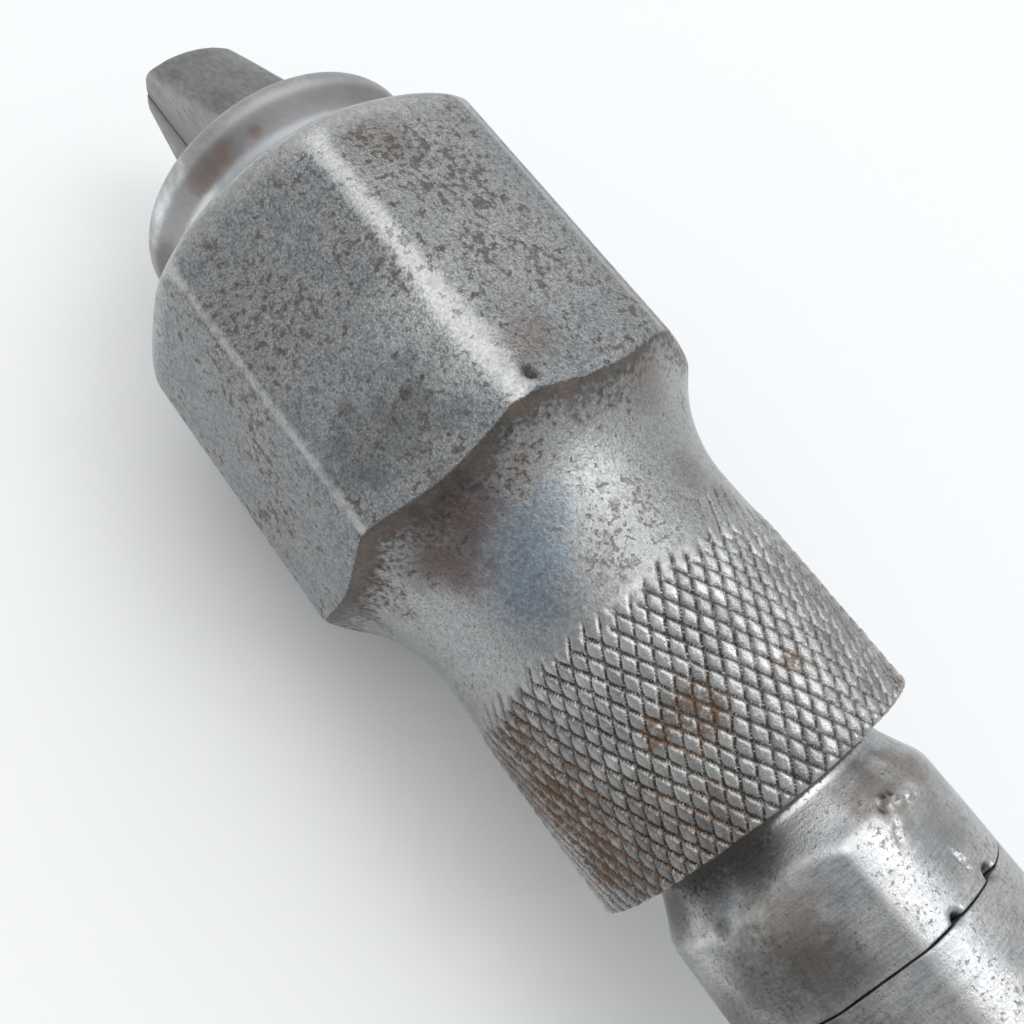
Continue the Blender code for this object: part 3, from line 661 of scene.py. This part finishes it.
def makeJaw(word, place):
    j = jaw
    half = j["width"] / 2
    coneEnd = noseFront - j["overlap"]
    headRear = coneEnd - j["head"]
    widest = j["tipHeight"] + (jawTip - coneEnd) * j["slope"]
    tangFront = headRear - widest + j["tang"]
    reliefFront = jawTip - j["grooveLength"] + j["reliefLap"]
    rows = Rows("rub", "soot")
    tailRows = j["tail"] + np.array([0, 0.2, 0.6, 1.2, 2])
    coneRows = np.arange(coneEnd + 0.5, jawTip - 1.2, 0.6)
    tipRows = jawTip - np.array([1.2, 0.9, 0.6, 0.35, 0.18, 0.06, 0])
    midRows = [30, 45, tangFront, headRear, reliefFront, reliefFront + 0.01, coneEnd]
    for z in [*tailRows, *midRows, *coneRows, *tipRows]:
        height = min(widest, j["tipHeight"] + (jawTip - z) * j["slope"], j["tang"] + max(0, z - tangFront))
        inset = arcDrop(max(0, 1 - (jawTip - z) / j["tipRound"]), j["tipRound"])
        height -= inset + arcDrop(max(0, 1 - (z - j["tail"]) / j["tailRound"]), j["tailRound"])
        parting, groove = j["relief"], j["relief"] + 0.05
        if z > reliefFront:
            taper = min(1, (jawTip - z) / j["grooveTaper"])
            parting = j["gap"] / 2 + 0.8 * inset
            groove = j["grooveTip"] + (j["groove"] - j["grooveTip"]) * taper
        points, rub, dirtAndShade = jawSlice(z, height, half - 0.8 * inset, parting, groove)
        points[:, :2] *= (1 + 0.006 * lowNoise(points, 6))[:, None]
        rows.add(points, rub=rub, soot=dirtAndShade)
    return makePiece("jaw_plate_" + word, rows, place, loop=False, sharp=50)


def forgedSteel():
    f, p = newFinish("jaw_steel")
    rub, soot = f.marks("rub", "soot")
    broad = f.grain(p, 3.5)
    speck = f.grain(p, 0.4, 4, 0.65)
    drag = f.grain(f.stretch(p, 2.2, 2.2, 0.5), 1.2, 4, 0.6)
    across = f.part(p, 1)
    sides = f.ease(across.sum("ABSOLUTE", across, 0), 4.3 * mm, 4.9 * mm)
    pits = f.ease(speck + 0.25 * (broad - 0.5), 0.62, 0.74)
    dirtAndShade = f.ease(soot + 1.6 * (drag - 0.5), 0.3, 1.1)
    steel = f.tint(f.ease(broad), (0.18, 0.184, 0.18), (0.243, 0.243, 0.236))
    # painted light: the jaws' side faces lighter than their tops
    steel = f.tint(sides * 0.6, steel, (0.33, 0.33, 0.325))
    steel = f.coats(
        f.shade(steel, 0.72 + 0.3 * f.ease(drag, 0.35, 0.65) + 0.26 * speck),
        # painted highlight on the rubbed ridges, partly real wear; then dirt and painted shade by the parting
        # faces
        (f.ease(rub + 0.8 * (drag - 0.5), 0.2, 1.1) * 0.6, (0.42, 0.42, 0.41)),
        (dirtAndShade * 0.6, (0.1, 0.097, 0.09)),
        (pits * 0.45, (0.09, 0.08, 0.07)),
    )
    f.set(Base_Color=steel, Roughness=0.46 + 0.2 * (speck - 0.5) + 0.12 * pits, Metallic=1 - 0.3 * dirtAndShade,
          Normal=f.bump(drag * 0.5 + speck * 0.6 - pits, 0.025))
    return f


def makeJaws():
    steel = forgedSteel()
    for word, turn in (("a", 0), ("b", pi)):
        piece = makeJaw(word, braceFrame @ Matrix.Rotation(jaw["roll"] + turn, 4, "Z"))
        dress(piece, "jaw_" + word, "dull_steel", steel, "jaw_" + word)
    print("jaws", len(piece.data.polygons), "faces each")


# chuck spindle: thread, neck and the round boss with its two flats

spindle = {
    "thread": 11, "pitch": 2, "depth": 0.75, "front": 46, "slotFloor": 15.5, "slotFit": 0.3, "boss": 12.85,
    "acrossFlats": 24.6, "flatRoll": 66 * degree, "rear": 13.19, "flareStart": 1.2, "flareLength": 3.8,
    "flareCurve": 1.2, "bore": 6.3, "boreDepth": 10.2, "columns": 432, "edge": 0.12,
    "edgeRows": np.array([0, 0.03, 0.08, 0.16, 0.26, 0.4]),
    "dents": [
        (-3.46, 12.06, -4.5, 0.3, -0.42), (-4.12, 11.97, -4.7, 0.28, -0.42),
        (-4.57, 11.9, -5, 0.26, -0.26), (-5.21, 11.71, -5.4, 0.27, -0.3),
        (-6.03, 11.34, -5.7, 0.26, -0.22), (-2.86, 12.4, -4.9, 0.48, 0.5),
        (-3.8, 12.15, -5.2, 0.28, 0.16), (-4.8, 11.9, -5.7, 0.26, 0.12), (-2.67, 12.57, -6.2, 0.22, 0.16),
        (-2.23, 12.65, -6.6, 0.2, 0.14), (-2.01, 12.69, -7.1, 0.2, 0.12),
        (-5.23, 11.74, -10, 0.24, -0.14), (-5.43, 11.65, -10.5, 0.24, -0.18),
        (-5.5, 11.62, -11, 0.26, -0.22), (-5.7, 11.52, -11.4, 0.28, -0.24),
        (-4.95, 11.86, -10.3, 0.22, 0.14), (-5.05, 11.82, -10.9, 0.22, 0.16),
        (-5.25, 11.73, -11.6, 0.24, 0.16), (-1.7, 12.7, -13.2, 0.42, 0.9), (-6.7, 11, -13.2, 0.58, 1.2),
        (-7.3, 10.6, -13, 0.42, 0.6),
    ],
    "darkSide": 42, "darkEnd": 36,  # where the neck is painted darker, dirt and painted shade, in degrees
    "neckHighlight": (86, 17, -1.8, 1.3),  # a painted highlight on the neck: degrees, half width, height, half length
    "stains": [(-3.4, 11.6, -3.4, 3.2), (-8, 9.5, -4, 3), (7.5, 10.5, -7, 4.2)],
    # dirt and painted shade on the neck beside the knurl and on the side away from the lamps
    "grimeAndShade": [(6.6, 9.1, -1.6, 4.3), (9.7, 6.4, -1.3, 4.6), (12, 1, -2, 4.6), (7.4, 10.2, -10.6, 5.4),
              (10.5, 7.5, -9.5, 6), (9.5, 8.5, -17, 7), (12.5, 1.5, -14, 9),
              (10.8, 6.9, -4.6, 1.6)],
    # painted shade: the boss darker on the side toward the lamps
    "sideShade": [(-6, 11.4, -8, 5), (-8.5, 9.6, -5.5, 4)],
}


def bossOutline(angles):  # a circle with two flats, and how far the flats' edges are
    s = spindle
    away = (angles - s["flatRoll"] + pi / 2) % pi - pi / 2
    flat = s["acrossFlats"] / 2 / np.maximum(np.cos(away), 0.1)
    return softMin(s["boss"], flat, 0.1), np.abs(s["boss"] - flat)


def makeSpindle():
    s = spindle
    angles, halfAngles = circle(s["columns"]), circle(s["columns"] // 2)
    rows = Rows("rub", "soot", "pit")
    middle, halfWidth, height, halfLength = s["neckHighlight"]
    rows.add(ring(s["bore"], angles, s["boreDepth"] - s["rear"]))
    rows.add(ring(s["bore"], angles, -s["rear"] + 0.3), soot=0.6)
    rows.add(ring(s["bore"] + 0.3, angles, -s["rear"]), soot=0.6)
    boss, corner = bossOutline(angles)
    for z in [*(s["edgeRows"] - s["rear"]), *np.arange(-12.6, -0.9, 0.2)]:
        share = max(0, (-z - s["flareStart"]) / s["flareLength"])
        flare = s["thread"] + (s["boss"] - s["thread"]) * share ** s["flareCurve"]
        radius = softMin(boss, flare, 0.35)
        back = min(1, max(0, 1 - (z + s["rear"]) / s["edge"]))
        radius = radius - arcDrop(back, s["edge"])
        points = ring(radius, angles, z)
        dent = dentDepth(points, s["dents"])
        radius = radius - dent + 0.03 * lowNoise(points, 5)
        edge = 0.8 * bell(corner / 0.1) * (flare > s["boss"]) + bell((flare - boss) / 0.22)
        neckHighlight = bell((angles / degree - middle) / halfWidth) * bell((z - height) / halfLength)
        # dirt and painted shade: the neck darker next to the knurl and on its dark side, less under the
        # painted highlight
        left = smooth((s["darkEnd"] - np.abs(angles / degree - s["darkSide"])) / 14) * smooth((z + 3.4) / 1.6)
        soot = (smooth((z + 1.6) / 1.2) + 0.4 * back) * (1 - 0.9 * neckHighlight) + 0.7 * left
        rows.add(ring(radius, angles, z), rub=edge + 1.9 * neckHighlight, soot=soot, pit=smooth((dent - 0.18) / 0.3))
    # thread roots darkened: dirt and painted shade
    for z in np.arange(-0.6, s["front"] - 0.6, 0.25):
        lead = np.abs((z / s["pitch"] - halfAngles / tau) % 1 - 0.5) * 2
        radius = s["thread"] - s["depth"] * lead * smooth((z - 0.6) / 1.6)
        rows.add(ring(radius, halfAngles, z), soot=np.maximum(1 - z, 0.6 * lead))
    rows.add(ring(s["thread"] - 1, halfAngles, s["front"]))
    body = makePiece("spindle_body", rows, Matrix.Identity(4), loop=False)
    reach = jaw["width"] / 2 + s["slotFit"]
    slot = blockMesh("jaw_slot", (-30, -reach, s["slotFloor"]), (30, reach, 80))
    slot.transform(Matrix.Rotation(jaw["roll"], 4, "Z"))
    piece = carve("spindle", body, slot, braceFrame)
    dress(piece, "frame", "satin_steel", bossSteel("spindle_steel"), "chuck_spindle")
    print("spindle", len(piece.data.polygons), "faces")


def bossSteel(name):
    f, p = newFinish(name)
    rub, soot, pit = f.marks("rub", "soot", "pit")
    lines = f.grain(f.stretch(p, 0.3, 0.3, 3.2), 0.7, 4, 0.68)
    broad = f.grain(p, 5)
    cloud = f.grain(p, 1.8, 4, 0.62)
    speck = f.grain(p, 0.34, 4, 0.62)
    sand = f.ease(f.grain(p, 0.22, 3, 0.7), *grainSpan)
    stain = f.blots(p, spindle["stains"], cloud)
    grimeAndShade = f.blots(p, spindle["grimeAndShade"], 0.5 + 0.2 * (cloud - 0.5))
    pits = f.ease(speck + 0.22 * (broad - 0.5), 0.57, 0.68)
    dirtAndShade = f.ease(soot + 0.9 * (speck - 0.5) + 0.6 * (cloud - 0.5), 0.3, 1)
    steel = f.tint(f.ease(broad + 0.3 * (cloud - 0.5), 0.32, 0.68), (0.36, 0.375, 0.39), (0.46, 0.455, 0.44))
    level = 0.68 + 0.26 * f.ease(lines, 0.35, 0.65) + 0.28 * sand + 0.1 * f.ease(cloud)
    steel = f.coats(
        f.shade(steel, level),
        # painted highlight on the flats' worn edges and on the neck, partly real wear
        (rub * 0.5, (0.72, 0.725, 0.72)),
        # painted shade on the boss's side toward the lamps
        (f.blots(p, spindle["sideShade"], cloud) * 0.6, (0.27, 0.272, 0.262)),
        (stain * 0.5, (0.2, 0.15, 0.11)),
        # dirt and painted shade on the side away from the lamps
        (f.ease(grimeAndShade + 0.6 * (speck - 0.5), 0, 1.2) * 0.85, (0.085, 0.078, 0.072)),
        (pits * 0.42, (0.1, 0.085, 0.075)),
        # dirt and painted shade next to the knurl, in the bore and at joints
        (dirtAndShade * 0.85, (0.05, 0.046, 0.043)),
        (pit * 0.85, (0.06, 0.05, 0.042)),
    )
    rough = 0.31 + 0.14 * (lines - 0.5) + 0.15 * pits + 0.25 * dirtAndShade + 0.1 * stain + 0.08 * grimeAndShade
    relief = lines * 0.35 + speck * 0.5 + sand * 0.15 - pits * 0.5
    f.set(Base_Color=steel, Roughness=rough, Metallic=1 - 0.5 * dirtAndShade - 0.3 * pit, Normal=f.bump(relief, 0.03))
    return f


# crank frame: drum, bent rod and the head's collar

crank = {
    "rod": 6.35, "front": -13.31, "drum": 7.09, "taper": 15, "shank": 38.6, "slant": 18, "bend": 20,
    "headShank": 6, "collar": 10.5, "collarLength": 4, "journal": 5, "journalLength": 20, "gripSpan": 102,
    "columns": 144, "spigot": 6, "spigotLength": 9.7, "bendSteps": 20, "bossRear": 13.1, "rowStep": 6,
    "nicks": [(-1.9, 12.7, -13.3, 0.3, 0.3), (-6.7, 11, -13.3, 0.4, 0.45)],
}


def crankRoute():  # middle line of the rod, in the crank's plane
    c = crank
    throw = crankThrow / mm
    bendAngle = pi / 2 - atan2(c["slant"], throw)
    reach = c["bend"] * tan(bendAngle / 2)
    lower = -c["shank"] - c["bossRear"]
    frontCorner = lower - c["slant"]
    rearCorner = frontCorner - c["gripSpan"] - 2 * reach
    upper = rearCorner - c["slant"]
    start = c["front"] - c["drum"] - c["taper"]
    end = upper - reach - c["headShank"]
    turns = [(0, start), (0, lower), (throw, frontCorner), (throw, rearCorner), (0, upper), (0, end)]
    stops = [Vector((x, 0, z)) for x, z in turns]
    route = stops[:1]
    for before, corner, after in zip(stops, stops[1:], stops[2:]):
        inward, outward = (before - corner).normalized(), (after - corner).normalized()
        middle = corner + (inward + outward).normalized() * c["bend"] / cos(bendAngle / 2)
        first = corner + inward * reach - middle
        sweep = first.rotation_difference(corner + outward * reach - middle)
        for i in range(c["bendSteps"] + 1):
            share = sweep.copy()
            share.angle = sweep.angle * i / c["bendSteps"]
            route.append(middle + share @ first)
    return route + stops[-1:]


def makeFrame():
    c = crank
    angles = circle(c["columns"])
    rows = Rows("rub", "soot", "pit")
    tip = c["front"] + c["spigotLength"]
    for radius, z in ((0.5, tip), (c["spigot"], tip), (c["spigot"], c["front"])):
        rows.add(ring(radius, angles, z))
    taperStart = c["front"] - c["drum"]
    taperEnd = taperStart - c["taper"]
    boss, corner = bossOutline(angles)
    for z in [*(c["front"] - spindle["edgeRows"]), *np.arange(c["front"] - 0.7, taperEnd, -0.4)]:
        share = min(1, max(0, (taperStart - z) / c["taper"]))
        cone = c["rod"] + (spindle["boss"] - c["rod"]) * (1 + cos(pi * share)) / 2
        radius = softMin(boss, cone, 0.05)
        lead = min(1, max(0, 1 - (c["front"] - z) / spindle["edge"]))
        points = ring(radius, angles, z)
        dent = dentDepth(points, c["nicks"])
        radius = radius - arcDrop(lead, spindle["edge"]) - dent + 0.03 * lowNoise(points, 5)
        edge = 0.8 * bell(corner / 0.1) * (cone > spindle["acrossFlats"] / 2 + 0.3)
        # flats' edges painted lighter as worn and lit; the seam darkened with dirt and painted shade
        rows.add(ring(radius, angles, z), rub=edge, soot=lead * 0.5, pit=np.clip(dent * 2.5, 0, 1))
    route = crankRoute()
    across = Vector((0, 1, 0))
    steps = []
    for first, second in zip(route, route[1:]):  # long straights get rings of their own
        count = max(1, ceil((second - first).length / c["rowStep"]))
        steps += [first.lerp(second, i / count) for i in range(count)]
    steps.append(route[-1])
    for k in range(1, len(steps)):
        ahead = (steps[min(k + 1, len(steps) - 1)] - steps[k - 1]).normalized()
        side = ahead.cross(across)
        points = np.outer(np.cos(angles), side) + np.outer(np.sin(angles), across)
        middle = np.array(steps[k])
        drift = 0.03 * lowNoise(middle + points * c["rod"], 9)
        rows.add(middle + points * (c["rod"] + drift)[:, None])
    z = route[-1].z
    collarRear = z - c["collarLength"]
    ends = [
        (c["rod"] + 0.6, z - 0.15), (c["collar"] - 0.8, z - 0.15), (c["collar"] - 0.25, z - 0.4),
        (c["collar"], z - 1), (c["collar"], collarRear + 0.5), (c["collar"] - 0.5, collarRear),
        (c["journal"], collarRear), (c["journal"], z - c["journalLength"]),
    ]
    # faces inside the collar darkened: dirt and painted shade
    for radius, height in ends:
        rows.add(ring(radius, angles, height), soot=0.5 if radius < c["collar"] - 0.7 else 0)
    piece = makePiece("crank", rows, braceFrame, loop=False)
    dress(piece, "frame", "satin_steel", bossSteel("crank_steel"), "frame")
    print("crank", len(piece.data.polygons), "faces")


# grip on the crank

grip = {
    "length": 90, "end": 13, "middle": 15.5, "ferrule": 8, "wall": 1.4, "bore": 6.85, "tenon": 11.3,
    "seam": 0.15, "columns": 49, "profileSteps": 160, "lineDepth": 0.35, "lines": (4, 5.6), "bead": 2.2,
    "collar": 10, "collarBore": 6.65, "collarLength": 5, "play": 0.5,
    "pin": 1.2, "pinHole": 1.5, "pinEnd": 9.75,
}


def gripProfile():  # a bulged barrel between two tenons, with turned lines near its ends
    g = grip
    half = g["length"] / 2
    barrel = half - g["ferrule"] - 0.3
    bulge = []
    for i in range(g["profileSteps"] + 1):
        share = i / g["profileSteps"]
        z = barrel * (1 - 2 * share)
        r = g["end"] + (g["middle"] - g["end"]) * sin(pi * share)
        fromEnd = barrel - abs(z)
        r -= g["lineDepth"] * sum(bell((fromEnd - line) / 0.4) for line in g["lines"])
        bulge.append((r - 0.5 * exp(-fromEnd / 0.35), z))
    return [(g["bore"], half), (g["tenon"], half), (g["tenon"], barrel), *bulge, (g["tenon"], -barrel),
            (g["tenon"], -half), (g["bore"], -half)]


def sleeve(inner, outer, low, high, edge):  # corners of a plain ring
    return [(inner, low, 0.2), (outer, low, edge), (outer, high, edge), (inner, high, 0.2)]


def makeGrip():
    g = grip
    half = g["length"] / 2
    r, z = np.array(gripProfile()).T
    wood = darkWood("grip_wood")
    for word, side in (("a", 1), ("b", -1)):
        rows = Rows()
        for angle in np.arange(g["columns"]) * pi / (g["columns"] - 1):
            y = np.maximum(0, r * sin(angle))
            y = side * (y + g["seam"] * np.maximum(0, 1 - y))
            rows.add(np.stack([r * cos(angle), y, z], axis=1))
        piece = makePiece("grip_wood_" + word, rows, gripFrame, loop=False, sharp=35)
        dress(piece, "grip", "dark_wood", wood, "grip_half_" + word)
    steel = satinSteel("grip_steel", (0.5, 0.49, 0.475), (0.4, 0.395, 0.39))
    for word, side in (("front", 1), ("rear", -1)):
        makeGripEnd(word, side, half, steel)
    print("grip done")


def makeGripEnd(word, side, half, steel):  # a ferrule, and a collar that is pinned to the rod
    g = grip
    low, high = sorted((side * half, side * (half - g["ferrule"])))
    outer = g["end"]
    bead = side * (half - g["bead"])
    corners = sleeve(outer - g["wall"], outer, low, high, 0.7)
    corners[2:2] = [(outer, bead - 0.7, 0.25), (outer - 0.4, bead, 0.3), (outer, bead + 0.7, 0.25)]
    piece = turned("ferrule_" + word, corners, gripFrame, count=96)
    dress(piece, "grip", "satin_steel", steel, "grip_ferrule_" + word)
    middle = side * (half + g["play"] + g["collarLength"] / 2)
    low, high = middle - g["collarLength"] / 2, middle + g["collarLength"] / 2
    corners = sleeve(g["collarBore"], g["collar"], low, high, 0.9)
    body = turned("collar_body", corners, Matrix.Identity(4), count=96)
    hole = bpy.data.meshes.new("pin_hole")
    shape = bmesh.new()
    toPin = Matrix.Translation((0, 0, middle * mm)) @ Matrix.Rotation(pi / 2, 4, "X")
    radius = g["pinHole"] * mm
    size = {"radius1": radius, "radius2": radius, "depth": 40 * mm}
    bmesh.ops.create_cone(shape, cap_ends=True, segments=32, matrix=toPin, **size)
    shape.to_mesh(hole)
    shape.free()
    piece = carve("collar_" + word, body, hole, gripFrame)
    dress(piece, "frame", "satin_steel", steel, "grip_collar_" + word)
    end = g["pinEnd"]
    corners = [(0.01, end, 0), (g["pin"], end - 0.1, 0.3), (g["pin"], 0.1 - end, 0.3), (0.01, -end, 0)]
    piece = turned("pin_" + word, corners, gripFrame @ toPin, count=32, closed=False)
    dress(piece, "frame", "satin_steel", steel, "collar_pin_" + word)


def darkWood(name):
    f, p = newFinish(name)
    warp = f.grain(p, 22, 2)
    rings = f.grain(f.stretch(p, 1, 1, 0.07), 2.6, 5, 0.62)
    pores = f.grain(f.stretch(p, 5, 5, 0.3), 1.5, 3, 0.6)
    fine = f.grain(f.stretch(p, 2, 2, 0.12), 0.8, 3, 0.6)
    streak = f.ease(rings + 0.25 * (warp - 0.5), *grainSpan)
    gaps = f.ease(pores, 0.6, 0.7)
    worn = f.ease(f.grain(p, 16), 0.45, 0.7)
    scuff = f.ease(f.grain(p, 1.3, 5, 0.7), 0.64, 0.72)
    wood = f.tint(streak, (0.075, 0.028, 0.012), (0.2, 0.085, 0.036))
    wood = f.tint(worn * 0.35, wood, (0.26, 0.13, 0.06))
    wood = f.shade(wood, 0.7 + 0.6 * fine)
    wood = f.coats(wood, (gaps * 0.7, (0.03, 0.014, 0.008)), (scuff * 0.35, (0.05, 0.025, 0.015)))
    rough = 0.36 + 0.2 * gaps + 0.12 * worn + 0.15 * scuff
    relief = (1 - gaps) + streak * 0.3 - scuff * 0.5
    f.set(Base_Color=wood, Roughness=rough, Coat_Weight=0.35 - 0.2 * worn, Coat_Roughness=0.25,
          Normal=f.bump(relief, 0.05))
    return f


# head: flange with its screws, and the wooden pad

head = {
    "bore": 5.3, "sleeve": 12, "sleeveLength": 8, "flare": 5, "plate": 25, "plateLength": 4, "hub": 10,
    "hubLength": 6, "radius": 38, "foot": 24, "footLength": 3, "rim": 16, "dome": 19, "pocket": 20,
    "raceGaps": 4.9, "screwPlace": 20.3, "screw": 2.7, "screwHigh": 0.45, "slot": 0.6,
}


def makeHead():
    h = head
    sleeveFront = crankRoute()[-1].z - crank["collarLength"] - h["raceGaps"]
    plateFront = sleeveFront - h["sleeveLength"]
    plateRear = plateFront - h["plateLength"]
    hubRear = plateRear - h["hubLength"]
    steel = satinSteel("flange_steel", (0.48, 0.47, 0.455), (0.38, 0.375, 0.37), 0.38)
    corners = [
        (h["bore"], sleeveFront, 0.3), (h["sleeve"], sleeveFront, 0.8), (h["sleeve"], plateFront, h["flare"]),
        (h["plate"], plateFront, 1), (h["plate"], plateRear, 0.3), (h["hub"], plateRear, 0.2),
        (h["hub"], hubRear, 0.3), (h["bore"], hubRear, 0.3),
    ]
    piece = turned("flange", corners[::-1], braceFrame)
    dress(piece, "head", "satin_steel", steel, "head_flange")
    high = h["screwHigh"]
    corners = [(0.01, high, 0), (h["screw"] * 0.7, high * 0.8, 0.6), (h["screw"], -0.2, 0.1), (0.01, -0.2, 0)]
    for k in range(3):
        body = turned("screw_body", corners, Matrix.Identity(4), count=40, closed=False)
        cut = blockMesh("screw_slot", (-5, -h["slot"] / 2, -0.05), (5, h["slot"] / 2, 2))
        cut.transform(Matrix.Rotation(0.5 + 1.3 * k, 4, "Z"))
        out = Matrix.Translation((h["screwPlace"] * mm, 0, plateFront * mm))
        place = braceFrame @ Matrix.Rotation((40 + 120 * k) * degree, 4, "Z") @ out
        piece = carve("flange_screw_" + str(k + 1), body, cut, place)
        dress(piece, "head", "satin_steel", steel)
    woodFront = plateRear - 0.3
    foot = woodFront - h["footLength"]
    rim = woodFront - h["rim"]
    profile = [(0.02, woodFront - h["pocket"], 0), (h["hub"] + 0.3, woodFront - h["pocket"], 0),
               (h["hub"] + 0.3, woodFront, 0.2), (h["foot"], woodFront, 0.6)]
    for share in np.arange(25) / 24:
        r = h["foot"] + arcDrop(share, h["radius"] - h["foot"])
        profile.append((r, foot + (rim - foot) * share, 0))
    for i in range(1, 48):
        turn = i / 48 * pi / 2
        profile.append((h["radius"] * cos(turn), rim - h["dome"] * sin(turn), 0))
    profile.append((0.02, rim - h["dome"], 0))
    piece = turned("pad", profile, braceFrame, closed=False)
    dress(piece, "head", "dark_wood", darkWood("pad_wood"), "head_wood")
    print("head done")


# pieces that stay as they are in the solid model

def dressInner():
    washer = satinSteel("washer_steel", (0.48, 0.475, 0.47), (0.38, 0.375, 0.37))
    spring = satinSteel("spring_wire", (0.25, 0.26, 0.29), (0.17, 0.18, 0.21))
    washers = ["thrust_washer", "head_race_lower", "head_race_upper", "head_nut_washer", "head_nut"]
    for name in [*washers, "jaw_spring"]:
        paint(frame["nodes"][name].data, spring if name == "jaw_spring" else washer)
    print("inner pieces dressed")


# floor, light and camera

studio = {
    # the floor's colour is painted lighter on the near side, where the object's shadow falls, and darker on
    # the far side under the lamps
    "floorFar": (0.93, 0.94, 0.95), "floorNearLifted": (0.965, 0.972, 0.975), "floorBlend": (-0.13, 0.07),
    "floorRadius": 12, "floorDrop": 0.0002,
    "skyFar": 0.84, "skyNear": 0.55, "skySeen": 0.67, "skyBlend": 0.75, "skyColour": (0.97, 0.985, 1),
    "lamps": [("over", 3.7, 1.1, (0.39, -0.19, 0.97)),  # name, power, size, place
              ("rear", 1.25, 0.4, (-0.16, -0.38, 0.9))],
    "lampAim": (0.14, -0.05, 0),
}


def makeFloor():
    s = studio
    bpy.ops.mesh.primitive_circle_add(vertices=96, radius=s["floorRadius"], fill_type="NGON")
    floor = bpy.context.object
    floor.location.z = -s["floorDrop"]
    floor.name = "floor"
    f, p = newFinish("floor_white")
    y = f.part(p, 1)
    # painted light: floor colour blended from far to near
    share = f.ease(y + 0.02 * (f.grain(p, 60, 2) - 0.5), *s["floorBlend"])
    white = f.tint(share, s["floorFar"], s["floorNearLifted"])
    f.set(Base_Color=white, Roughness=0.9, Specular_IOR_Level=0.1)
    paint(floor.data, f)


def makeLight():
    s = studio
    world = bpy.data.worlds.new("room")
    bpy.context.scene.world = world
    f = Finish(world, "Background")
    y = f.part(f.node("ShaderNodeTexCoord", out="Generated"), 1)
    sky = f.ease(y, -s["skyBlend"], s["skyBlend"], s["skyFar"], s["skyNear"])
    seen = f.node("ShaderNodeLightPath", out="Is Camera Ray")
    f.set(Strength=sky + seen * (s["skySeen"] - sky), Color=s["skyColour"])
    for word, power, size, place in s["lamps"]:
        data = bpy.data.lights.new("lamp_" + word, "AREA")
        data.size = size
        data.energy = power
        lamp = newObject("lamp_" + word, data)
        lamp.location = place
        aim = Vector(s["lampAim"]) - lamp.location
        lamp.rotation_euler = aim.to_track_quat("-Z", "Y").to_euler()
    print("floor and light done")


def makeCamera():  # where the photograph was taken from, in the brace's frame
    right = Vector((-0.7937, 0.1059, -0.599))
    up = Vector((-0.528, 0.3688, 0.765))
    back = right.cross(up).normalized()
    up = back.cross(right)
    seat = Matrix((right.normalized(), up.normalized(), back)).transposed().to_4x4()
    seat.translation = Vector((28.81, 83.66, 10.42)) * mm
    data = bpy.data.cameras.new("view")
    data.lens = 35.16
    data.sensor_width = 36
    data.clip_start = 0.004
    camera = newObject("view", data)
    camera.matrix_world = braceFrame @ seat
    bpy.context.scene.camera = camera


makeShell()
makeNose()
makeJaws()
makeSpindle()
makeFrame()
makeGrip()
makeHead()
dressInner()
makeFloor()
makeLight()
makeCamera()
bpy.context.scene.view_settings.view_transform = "Standard"
